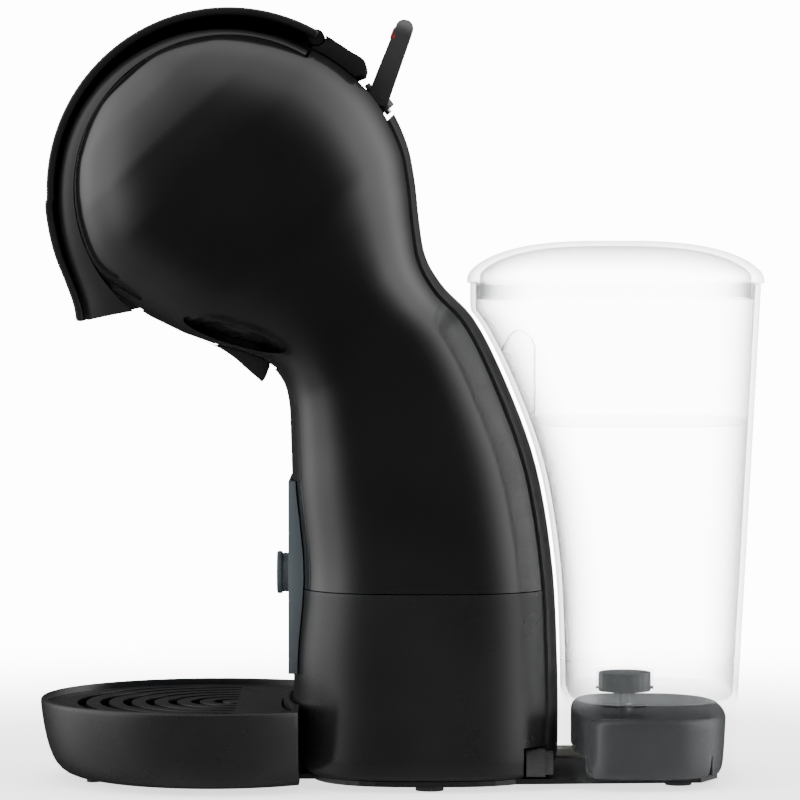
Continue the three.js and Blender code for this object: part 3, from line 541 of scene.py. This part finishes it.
def make_cheeks():
    left = body_sheet("left_cheek", 0, (0, 1), (0, 180), 200, 84)
    outward(left)
    trim(left, (0, BAND_HALF + GAP, 0), (0, -1, 0))
    trim(left, (0, 0, SEAM_Z + GAP), (0, 0, -1))
    thicken(left, SHELL_WALL, (0, 1, 0))
    add_scoop(left)
    start, end = PIVOT_ANGLE - 1.2, 233
    carve(left, plate("cutter", arc(90, start, end, 60) + arc(SEAM_RADIUS, end, start, 120), 30, 80))
    round_edges(left, 0.4)
    right = mirrored(left, "right_cheek")
    for piece, node in ((left, "cheek_left"), (right, "cheek_right")):
        smooth(piece)
        seat(piece, "housing", GLOSS_BLACK, "gloss_black", node)


def make_skirt():
    skirt = body_sheet("skirt", 0, (0.55, 1), (0, 360), 110, 128)
    outward(skirt)
    trim(skirt, (0, 0, SEAM_Z), (0, 0, 1))
    thicken(skirt, SHELL_WALL, (0, 0, -1))
    notch = cutter(45.5, 62.5, -59.5, -34, 0, 16)
    carve(skirt, cutter(20, 90, -BAND_HALF - GAP, BAND_HALF + GAP, -10, 90),
          button_way(), notch)
    round_edges(skirt, 0.35)
    smooth(skirt)
    seat(skirt, "housing", SKIRT_BLACK, "satin_black", "lower_skirt")


def make_spine():
    """The strip down the back, from the lever's trough to the foot, with the cord's hole."""
    spine = body_solid(0.8)
    spine.name = "spine"
    zone = plate("cutter", [(-0.6, 253.6), (20, 262), (200, 262), (200, BODY_BOTTOM_Z), (20, BODY_BOTTOM_Z),
                            (12, 120), (-20, 205), (-16, 236)], -BAND_HALF, BAND_HALF)
    carve(spine, zone, operation="INTERSECT")
    carve(spine, body_solid(-SHELL_WALL), cutter(44, 70, -3.5, 3.5, 6, 13))
    round_edges(spine, 0.5)
    smooth(spine)
    seat(spine, "housing", SATIN_BLACK, "satin_black", "spine_cover")


def make_front_panel():
    """The strip up the column's front, tucked under the cover below the head."""
    panel = body_solid(0)
    panel.name = "front_strip"
    low = SEAM_Z + GAP
    zone = plate("cutter", [(-60, low), (-10, low), (-10, 150), (-38, 164), (-47.6, 155.2), (-60, 140)],
                 -BAND_HALF, BAND_HALF)
    carve(panel, zone, operation="INTERSECT")
    lap = body_solid(-0.6)
    carve(lap, body_solid(-4))
    brim = plate("cutter", [on_head(228.8, 75), (-70, 140), (-47, 140), (-46.2, 151.5), (-38, 168),
                            (-50, 185), on_head(228.8, 40)], -BAND_HALF - 1, BAND_HALF + 1)
    carve(lap, brim, operation="INTERSECT")
    carve(panel, body_solid(-SHELL_WALL), lap,
          button_way())
    round_edges(panel, 0.4)
    smooth(panel)
    seat(panel, "housing", GLOSS_BLACK, "satin_black", "front_panel")


# ---- tank ---------------------------------------------------------------------------------
def mix(low, high, share):
    return low + (high - low) * share


def tank_point(z, angle, offset, at_z=None, scale=1.0):
    """A point on the tank's plan at a height: flat in front, round behind."""
    level = min(z, TANK_TOP_Z)
    share = (level - TANK_BOTTOM_Z) / (TANK_TOP_Z - TANK_BOTTOM_Z)
    front = TANK_TOP_X if level > 178 else max(TANK_TOP_X, rear_at(max(level, FULL_DEPTH_Z)) + TANK_GAP)
    rear, half = mix(125.6, 135.6, share), mix(52, 60, share)
    turn = math.radians(angle)
    square = 5 if math.cos(turn) < 0 else 2.5
    reach = ((rear - front) / 2 + offset) * power(math.cos(turn), 2 / square)
    side = (half + offset) * power(math.sin(turn), 2 / 3.1)
    return Vector(((rear + front) / 2 + reach * scale, side * scale, z if at_z is None else at_z)) * MM


def tank_skin(name, levels, columns=144):
    """A skin through rings; each level is (height on the plan, offset, its own height, scale)."""
    rows = len(levels)

    def place(u, v):
        z, offset, at_z, scale = levels[round(u * (rows - 1))]
        return tank_point(z, 360 * v, offset, at_z, scale)
    piece = bent_grid(name, place, rows - 1, columns)
    close_ends(piece)
    return piece


def climb(z0, z1, offset, steps):
    return [(mix(z0, z1, k / steps), offset, mix(z0, z1, k / steps), 1) for k in range(steps + 1)]


def make_tank():
    floor_top = TANK_FLOOR_Z + TANK_FLOOR
    levels = (climb(TANK_FLOOR_Z, TANK_BOTTOM_Z + 0.2, -TANK_WALL, 10)
              + climb(TANK_BOTTOM_Z, TANK_TOP_Z, 0, 70)
              + climb(TANK_TOP_Z, floor_top + 1.5, -TANK_WALL, 60)
              + [(floor_top, -TANK_WALL - 0.5, floor_top + 0.4, 1),
                 (floor_top, -TANK_WALL - 1.5, floor_top, 1)])
    tank = tank_skin("tank_shell", levels)
    pocket = plate("pocket", [(40, 138), (50.8, 138), (50.8, 164), (49.6, 167), (47.2, 169.2), (44, 170),
                              (41.4, 168.4), (36, 158.6), (31, 158)], -9, 9)
    round_edges(pocket, 1.6, 4, 50)
    inside = tank_skin("cutter", climb(60, TANK_TOP_Z, -0.7, 40))
    carve(pocket, inside, operation="INTERSECT")
    carve(tank, pocket, operation="UNION")
    carve(tank, cutter(50, 70, -9, 9, -5, 18), cutter(50, 75, -42, 42, -5, 4.3),
          rod((VALVE_X, 0, 20), (VALVE_X, 0, 40), 4.2))
    smooth(tank, 30)
    seat(tank, "tank", CLEAR_SAN, "clear_plastic", "tank")


def make_lid():
    def dome(offset, lift, height, steps):
        levels = []
        for k in range(steps + 1):
            rise = math.sin(math.pi / 2 * k / steps)
            scale = max(0.01, (1 - rise ** 1.5)) ** (1 / 3)
            levels.append((TANK_TOP_Z, offset, lift + height * rise, scale))
        return levels
    base = TANK_TOP_Z + 0.4
    rim_top = base + LID_RIM
    outer = [(TANK_TOP_Z, LID_OVERHANG, base, 1), (TANK_TOP_Z, LID_OVERHANG, base + 1.4, 1)]
    outer += dome(LID_OVERHANG - 0.3, rim_top, LID_HEIGHT, 28)
    inner = dome(-3.6, rim_top, LID_HEIGHT - LID_WALL, 24)[::-1]
    skirt = [(TANK_TOP_Z, -4, base - 6, 1), (TANK_TOP_Z, -TANK_WALL - GAP, base - 6, 1),
             (TANK_TOP_Z, -TANK_WALL - GAP, base, 1)]
    lid = tank_skin("lid_shell", skirt[::-1][:1] + outer)
    hollow = tank_skin("cutter", [(TANK_TOP_Z, -4, base - 9, 1)] + inner[::-1])
    plug = tank_skin("plug", [skirt[1], skirt[2], (TANK_TOP_Z, -TANK_WALL - GAP, rim_top, 1)])
    carve(lid, plug, operation="UNION")
    carve(lid, hollow)
    round_edges(lid, 0.5, 3, 50)
    smooth(lid, 40)
    seat(lid, "lid", CLEAR_SAN, "clear_plastic", "tank_lid")


def make_platform():
    """The raised seat under the tank, with its edges eased."""
    top = PLATFORM_TOP_Z
    levels = [(4.2, -6.4, 4.2, 1), (4.2, -5, 4.5, 1), (6, -4.4, 6, 1), (9, -4.1, 9, 1), (14, -4, 14, 1),
              (22, -4, 22, 1), (24.6, -4, 24.6, 1), (26, -4.5, 26, 1), (26.8, -5.4, 26.8, 1),
              (top, -6.8, top, 1)]
    platform = tank_skin("platform", levels)
    carve(platform, rod((VALVE_X, 0, -5), (VALVE_X, 0, 40), 9.4), cutter(55, VALVE_X, -3.5, 3.5, 4.8, 13),
          cutter(62, 116, -38, 38, -1, 12))
    smooth(platform, 40)
    seat(platform, "housing", PLATFORM_GREY, "dark_grey", "tank_platform")


def make_water():
    inset = -TANK_WALL - 0.15
    water = tank_skin("water", [(34, inset - 1, 33.2, 1)] + climb(34.5, WATER_Z - 0.6, inset, 30)
                      + [(WATER_Z, inset, WATER_Z + 0.2, 1), (WATER_Z, inset - 0.9, WATER_Z - 0.25, 1),
                         (WATER_Z, inset - 2.5, WATER_Z - 0.6, 1)])
    carve(water, rod((VALVE_X, 0, 30), (VALVE_X, 0, 41), 11))
    smooth(water, 40)
    seat(water, "tank", WATER, "clear_plastic")


# ---- visor, lever and button --------------------------------------------------------------
LIP = [(-132, 218), (-130.6, 206.5), (-128, 197), (-124.8, 189), (-121.6, 180), (-120.6, 174)]


def eased(points, per_span=5):
    """The outline's points with smooth steps put in between."""
    spans = (len(points) - 1) * per_span
    return [tuple(smooth_through([(x, z, 0) for x, z in points], k / spans)[:2]) for k in range(spans + 1)]


SIDE_REACH = [(PIVOT_ANGLE, 59.2), (85, 59.2), (115, 60.6), (150, 62.6), (180, 63.4), (194, 64.2),
              (203, 65), (210, 66), (217, 68), (224, 72), (233, 76)]


def side_reach(share):
    """The angle round the head and how far out the visor's side reaches there."""
    return smooth_through([(angle, reach, 0) for angle, reach in SIDE_REACH], share)[:2]


def visor_side():
    """The near-round side of the visor, in the surface of the cheek beside it."""
    seam = SEAM_RADIUS + GAP
    rows, steps = 160, 6

    def section(share):
        angle, reach = side_reach(share)
        face = []
        for k in range(steps + 1):
            across = k / steps
            bulge = 0.5 * math.sin(math.pi * across)
            face.append((seam + (reach - seam) * across + bulge,
                         SEAM_HALF + (BAND_HALF + GAP - SEAM_HALF) * across + bulge))
        back = [(reach, BAND_HALF - WEB_WALL), (seam, SEAM_HALF - WEB_WALL - 0.6)]
        return [(*on_head(angle, radius), half) for radius, half in face + back]

    def place(u, v):
        ring = section(u)
        x, z, y = ring[round(v * len(ring)) % len(ring)]
        return Vector((x, y, z)) * MM
    return bent_grid("visor_side", place, rows, steps + 3, closed=True)


def visor_web():
    outer = arc(BAND_RADIUS - 1, PIVOT_ANGLE, 183, 70) + [(x + 1, z) for x, z in eased(LIP)]
    inner = []
    for k in range(81):
        angle, reach = side_reach(1 - k / 80)
        inner.append(on_head(angle, min(reach, BAND_RADIUS - VISOR_WALL) - 1.4))
    return plate("visor_web", outer + inner, DOME_HALF + RUN_GAP, DOME_HALF + RUN_GAP + WEB_WALL)


def make_visor():
    pivot = on_head(PIVOT_ANGLE, PIVOT_RADIUS)
    outer = arc(BAND_RADIUS, PIVOT_ANGLE, 180, 90) + eased([on_head(183, BAND_RADIUS), *LIP])
    inner = [(x + VISOR_WALL, z) for x, z in eased([*LIP[::-1], on_head(183, BAND_RADIUS)])]
    inner += arc(BAND_RADIUS - VISOR_WALL, 180, PIVOT_ANGLE, 90)
    band = plate("visor_shell", outer + inner, -VISOR_HALF, VISOR_HALF)
    round_edges(band, 1.1, 4, 60)
    side, web = visor_side(), visor_web()
    below = [(-150, 172), (-118, 174), (-107.6, 176.3), (-99.7, 177.8), (-80, 181), (-80, 120), (-150, 120)]
    carve(side, plate("cutter", below, 0, 80))
    carve(web, plate("cutter", below, 0, 80))
    for piece in (side, web):
        other = mirrored(piece, "other_side")
        carve(band, piece, other, operation="UNION")
    carve(band, rod((pivot[0], -33, pivot[1]), (pivot[0], 33, pivot[1]), KNUCKLE_RADIUS), operation="UNION")
    for sign in (-1, 1):
        carve(band, rod((pivot[0], sign * 9.4, pivot[1]), (pivot[0], sign * 15.6, pivot[1]), 5))
    carve(band, rod((pivot[0], -32, pivot[1]), (pivot[0], 32, pivot[1]), 1.7))
    smooth(band, 35)
    seat(band, "visor", SATIN_BLACK, "satin_black", "visor")


def make_rear_band():
    """The fixed end of the centre band, between the visor's hinge and the lever."""
    pivot = on_head(PIVOT_ANGLE, PIVOT_RADIUS)
    crown = [on_head(PIVOT_ANGLE - 0.6, BAND_RADIUS + 0.2), on_head(52, BAND_RADIUS + 0.5),
             on_head(48, BAND_RADIUS + 1), (-16.3, 272.8), (-13.6, 270.8), (-12.7, 268.6)]
    outline = eased(crown) + [(-13.4, 266.2), (-17.4, 264.6)] + arc(58, 44, PIVOT_ANGLE - 0.6, 12)
    band = plate("rear_band", outline, -BAND_HALF, BAND_HALF)
    carve(band, rod((pivot[0], -50, pivot[1]), (pivot[0], 50, pivot[1]), KNUCKLE_RADIUS + RUN_GAP),
          body_solid(GAP))
    round_edges(band, 0.7, 4, 35)
    smooth(band, 40)
    seat(band, "housing", SATIN_BLACK, "satin_black", "rear_top_band")


def make_splash_guard():
    outline = eased([(-76, 166.8), (-69.1, 164.2), (-63.3, 160.6), (-57.5, 155.6), (-52.1, 150.9)], 4)
    outline += [(-50.3, 155.4), (-50, 160), (-60, 166), (-76, 170)]
    guard = plate("splash_wedge", outline, -20, 20)
    carve(guard, body_solid(-0.6))
    round_edges(guard, 0.4, 3, 35)
    smooth(guard, 40)
    seat(guard, "housing", SATIN_BLACK, "satin_black", "splash_guard")


def soften(node, finish, width=0.5, angle=35):
    """Keeps a design piece, with its edges rounded and a finish of its own."""
    piece = bpy.data.objects[node]
    if width:
        weld = piece.modifiers.new("Weld", "WELD")
        weld.merge_threshold = 0.00002
        bevel = piece.modifiers.new("Bevel", "BEVEL")
        bevel.width = width * MM
        bevel.segments = 3
        bevel.limit_method = "ANGLE"
        bevel.angle_limit = math.radians(angle)
    piece.data.materials.clear()
    piece.data.materials.append(finish)


def lever_outline(half_foot, half_tip):
    """A tapered outline with a round end, from the foot at (0, -2) up."""
    top = LEVER_LENGTH - half_tip
    outline = [(-half_foot, -2), (half_foot, -2)]
    for k in range(25):
        turn = math.pi * k / 24
        outline.append((half_tip * math.cos(turn), top + half_tip * math.sin(turn)))
    return outline


def make_lever():
    half = LEVER_WIDTH / 2
    blade = plate("lever", lever_outline(LEVER_THICKNESS / 2, LEVER_TIP_THICKNESS / 2), -half, half)
    face = plate("cutter", lever_outline(half * 0.8, half), -10, 10)
    face.rotation_euler = (0, 0, math.pi / 2)
    settle(face, "cutter")
    carve(blade, face, operation="INTERSECT")
    round_edges(blade, 1.9, 6, 50)
    mark = cutter(-3.95, -1.2, -5.95, 5.95, 22.4, 27.6)
    round_edges(mark, 1.2, 4, 50)
    settle(mark, "lever_red_mark")
    tilt = math.radians(52.3)
    axis = Vector((math.cos(tilt), 0, -math.sin(tilt)))
    hub = rod(LEVER_FOOT - axis * 5.5, LEVER_FOOT + axis * 5.5, 3.6)
    round_edges(hub, 0.6, 3, 50)
    tail = rod(LEVER_FOOT, LEVER_FOOT + Vector((-2.4, 0, -12)), 1.8, 32)
    for piece in (blade, mark):
        piece.rotation_euler = (0, LEVER_LEAN, 0)
        piece.location = LEVER_FOOT * MM
        settle(piece, piece.name)
    carve(blade, hub, tail, operation="UNION")
    carve(blade, rod(LEVER_FOOT - axis * 8, LEVER_FOOT + axis * 8, 1.5, 32))
    for piece in (blade, mark):
        smooth(piece, 40)
    seat(blade, "lever", LEVER_GREY, "satin_black", "selector_lever")
    seat(mark, "lever", RED_MARK, "satin_black")


def make_button():
    button = rod((-47.1, 0, BUTTON_Z), (-44.9, 0, BUTTON_Z), 8.1, 128, "button")
    round_edges(button, 0.7, 4, 50)
    neck = rod((-46, 0, BUTTON_Z), (-38.4, 0, BUTTON_Z), BUTTON_NECK, 96)
    stem = rod((-39, 0, BUTTON_Z), (-31.4, 0, BUTTON_Z), 2, 48)
    carve(button, neck, stem, operation="UNION")
    dish = rod((-47.6, 0, BUTTON_Z), (-46.7, 0, BUTTON_Z), 5.6, 96)
    round_edges(dish, 0.3, 2, 50)
    carve(button, dish)
    smooth(button, 35)
    seat(button, "button", SLATE_GREY, "slate_grey", "power_button")


def make_accent():
    outline = [(-42.2, 41.8), (-33, 41.8), (-33, 114), (-42.2, 114)]
    accent = plate("accent", outline, -27, 27)
    carve(accent, body_solid(GAP, (0.5, 1)),
          button_way())
    round_edges(accent, 0.5, 3, 50)
    smooth(accent, 35)
    seat(accent, "housing", SLATE_GREY, "slate_grey", "accent_panel")


# ---- drip tray ----------------------------------------------------------------------------
def oval_solid(inset, z0, z1):
    points = []
    for k in range(96):
        turn = 2 * math.pi * k / 96
        points.append((9.7 + (44 - inset) * power(math.cos(turn), 0.7),
                       (COLUMN_HALF_WIDTH - 6 - inset) * power(math.sin(turn), 0.7)))
    deselect()
    bpy.ops.mesh.primitive_circle_add(vertices=len(points), radius=1, fill_type="NGON")
    piece = settle(bpy.context.object, "cutter")
    for vertex, (x, y) in zip(piece.data.vertices, points):
        vertex.co = Vector((x, y, z0)) * MM
    edit(piece)
    bpy.ops.mesh.extrude_region_move(TRANSFORM_OT_translate={"value": (0, 0, (z1 - z0) * MM)})
    done()
    outward(piece)
    return piece


def make_tray():
    outer = [(46, 1.4), (47.5, 1.4), (51, 1.6), (54, 2.2), (56.5, 3.2), (58.6, 4.7), (60.4, 6.8), (61.8, 9.4),
             (62.9, 12.3), (63.8, 15.5), (64.6, 19), (65.2, 22.5), (65.7, 26), (TRAY_RADIUS, 29),
             (TRAY_RADIUS, 30.2), (TRAY_RADIUS - 0.25, 30.7), (TRAY_RADIUS - 0.8, TRAY_RIM_Z),
             (TRAY_RADIUS - 3, TRAY_RIM_Z)]
    bowl = turned("tray", outer, TRAY_X, 192)
    inner = [(48, 6.6), (50, 6.7), (54.5, 7.4), (57.2, 8.7), (59, 10.6), (60.4, 13.2), (62, 18), (63.4, 25),
             (TRAY_RADIUS - TRAY_WALL, 30), (TRAY_RADIUS - TRAY_WALL + 0.5, TRAY_RIM_Z + 0.1),
             (TRAY_RADIUS - TRAY_WALL + 0.6, TRAY_RIM_Z + 4)]
    hollow = turned("cutter", inner, TRAY_X, 192)
    carve(hollow, body_solid(1.6 + TRAY_WALL, (0.5, 1)), oval_solid(-5 - TRAY_WALL, -5, 12),
          cutter(TRAY_BACK_X - TRAY_WALL, 60, -80, 80, -5, 60))
    carve(bowl, body_solid(1.6, (0.5, 1)), oval_solid(-5, -5, 12), cutter(TRAY_BACK_X, 60, -80, 80, -5, 60),
          cutter(-89.5, 0, -23, 23, -1, 4.4), hollow)
    round_edges(bowl, 0.35, 2, 50)
    smooth(bowl, 35)
    seat(bowl, "tray", TRAY_BLACK, "satin_black", "drip_tray")


def make_grid():
    radius = TRAY_RADIUS - TRAY_WALL - GAP
    low = GRID_TOP_Z - GRID_THICKNESS
    grid = rod((TRAY_X, 0, low), (TRAY_X, 0, GRID_TOP_Z), radius, 192, "grid")
    carve(grid, body_solid(2 + TRAY_WALL + GAP, (0.5, 1)),
          cutter(TRAY_BACK_X - TRAY_WALL - GAP, 60, -80, 80, 0, 60))
    slot_x, steps = -62, 48

    def half_ring(out, start, end):
        turns = [math.pi * (start + (end - start) * j / steps) for j in range(steps + 1)]
        return [(slot_x + out * math.cos(turn), out * math.sin(turn)) for turn in turns]
    field = rod((TRAY_X, 0, low - 3), (TRAY_X, 0, GRID_TOP_Z + 3), radius - 7, 160)
    slots = None
    for k in range(SLOT_COUNT):
        near = FIRST_SLOT + SLOT_PITCH * k
        ends = half_ring(near + SLOT_WIDTH, 0.5, 1.5) + half_ring(near, 1.5, 0.5)
        deselect()
        bpy.ops.mesh.primitive_circle_add(vertices=len(ends), radius=1, fill_type="NGON")
        slot = settle(bpy.context.object, "slot")
        for vertex, (x, y) in zip(slot.data.vertices, ends):
            vertex.co = Vector((x, y, low - 2)) * MM
        edit(slot)
        bpy.ops.mesh.extrude_region_move(TRANSFORM_OT_translate={"value": (0, 0, 6 * MM)})
        done()
        outward(slot)
        if slots:
            slots.select_set(True)
            bpy.context.view_layer.objects.active = slots
            slot.select_set(True)
            bpy.ops.object.join()
        else:
            slots = slot
    carve(slots, field, operation="INTERSECT")
    carve(grid, slots)
    round_edges(grid, 0.45, 3, 50)
    smooth(grid, 40)
    seat(grid, "grid", TRAY_BLACK, "satin_black", "drip_grid")


# ---- camera and light ---------------------------------------------------------------------
def make_world():
    """A white surround, dimmed in the room's two ends so that gloss stays deep black."""
    world = bpy.data.worlds.new("studio")
    bpy.context.scene.world = world
    world.use_nodes = True
    tree = world.node_tree
    aim = tree.nodes.new("ShaderNodeTexCoord")
    split = tree.nodes.new("ShaderNodeSeparateXYZ")
    tree.links.new(aim.outputs["Generated"], split.inputs[0])
    x, y, z = split.outputs
    ends = ramp_node(tree, math_node(tree, "ABSOLUTE", y), 0.25, 0.97, 1.0, 0.07)
    overhead = math_node(tree, "MULTIPLY", z, 0.3)
    lift = math_node(tree, "ADD", ramp_node(tree, x, 0.35, 0.95, 0.0, 1.3), overhead)
    window = ramp_node(tree, x, -0.45, -0.97, 0.85, 2.1)
    below = ramp_node(tree, z, -0.5, 0.1, 0.3, 1.0)
    room = math_node(tree, "MULTIPLY", math_node(tree, "ADD", lift, window),
                     math_node(tree, "MULTIPLY", ends, below))
    path = tree.nodes.new("ShaderNodeLightPath")
    seen = math_node(tree, "MAXIMUM", path.outputs["Is Camera Ray"], path.outputs["Is Transmission Ray"])
    strength = math_node(tree, "MAXIMUM", math_node(tree, "MULTIPLY", seen, 14.0), room)
    background = tree.nodes["Background"]
    background.inputs["Color"].default_value = (1, 1, 1, 1)
    tree.links.new(strength, background.inputs["Strength"])


def make_floor():
    """A pale floor that fades out into the white surround."""
    deselect()
    bpy.ops.mesh.primitive_plane_add(size=6, location=(0, 0, 0))
    floor = settle(bpy.context.object, "floor")
    paper = new_finish("pale_paper", (0.97, 0.97, 0.97), 0.9, Emission_Color=(1, 1, 1, 1),
                       Emission_Strength=1.6)
    tree = paper.node_tree
    place = tree.nodes.new("ShaderNodeTexCoord")
    distance = tree.nodes.new("ShaderNodeVectorMath")
    distance.operation = "LENGTH"
    tree.links.new(place.outputs["Object"], distance.inputs[0])
    fade = ramp_node(tree, distance.outputs["Value"], 0.2, 0.6, 1.0, 0.0)
    tree.links.new(fade, tree.nodes["Principled BSDF"].inputs["Alpha"])
    floor.data.materials.append(paper)
    floor.visible_glossy = False


def make_studio():
    make_world()
    make_floor()
    for name, place, aim, size, energy in (
            ("left_softbox", (-1.3, -0.4, 0.7), (0, 0, 0.15), 1.2, 14),
            ("right_softbox", (1.4, -0.3, 0.7), (0, 0, 0.15), 1.2, 8),
            ("top_softbox", (0, 0.1, 1.6), (0, 0, 0.1), 1.6, 34)):
        deselect()
        bpy.ops.object.light_add(type="AREA", location=place)
        lamp = bpy.context.object
        lamp.name = name
        lamp.data.shape = "DISK"
        lamp.data.size = size
        lamp.data.energy = energy
        lamp.rotation_euler = (Vector(aim) - Vector(place)).to_track_quat("-Z", "Y").to_euler()
        lamp.visible_glossy = False
    deselect()
    bpy.ops.object.camera_add(location=(-0.0004, -1.7, 0.210))
    camera = bpy.context.object
    aim = Vector((-0.0004, 0, 0.1434))
    camera.rotation_euler = (aim - camera.location).to_track_quat("-Z", "Y").to_euler()
    camera.data.lens = 201.8
    camera.data.sensor_width = 36
    bpy.context.scene.camera = camera


make_studio()
make_cheeks()
make_skirt()
make_spine()
make_front_panel()
make_visor()
make_rear_band()
make_splash_guard()
make_lever()
make_button()
make_accent()
make_tray()
make_grid()
make_tank()
make_lid()
make_platform()
make_water()
for node, finish in (("head_dome", GLOSS_BLACK), ("underside_cover", SATIN_BLACK),
                     ("lever_saddle", GLOSS_BLACK), ("base_plate", SATIN_BLACK),
                     ("capsule_drawer", SATIN_BLACK), ("tank_filter", PLATFORM_GREY)):
    soften(node, finish, 0.3)
PLAIN = {"steel": STEEL, "cast_alloy": CAST_ALLOY, "inner_plastic": INNER_PLASTIC, "rubber": RUBBER,
         "silicone": SILICONE, "board_green": BOARD_GREEN}
for part in frame["record"]["subparts"]:
    if part["material_slot"] in PLAIN and part["node"] != "tank_filter":
        soften(part["node"], PLAIN[part["material_slot"]], 0)
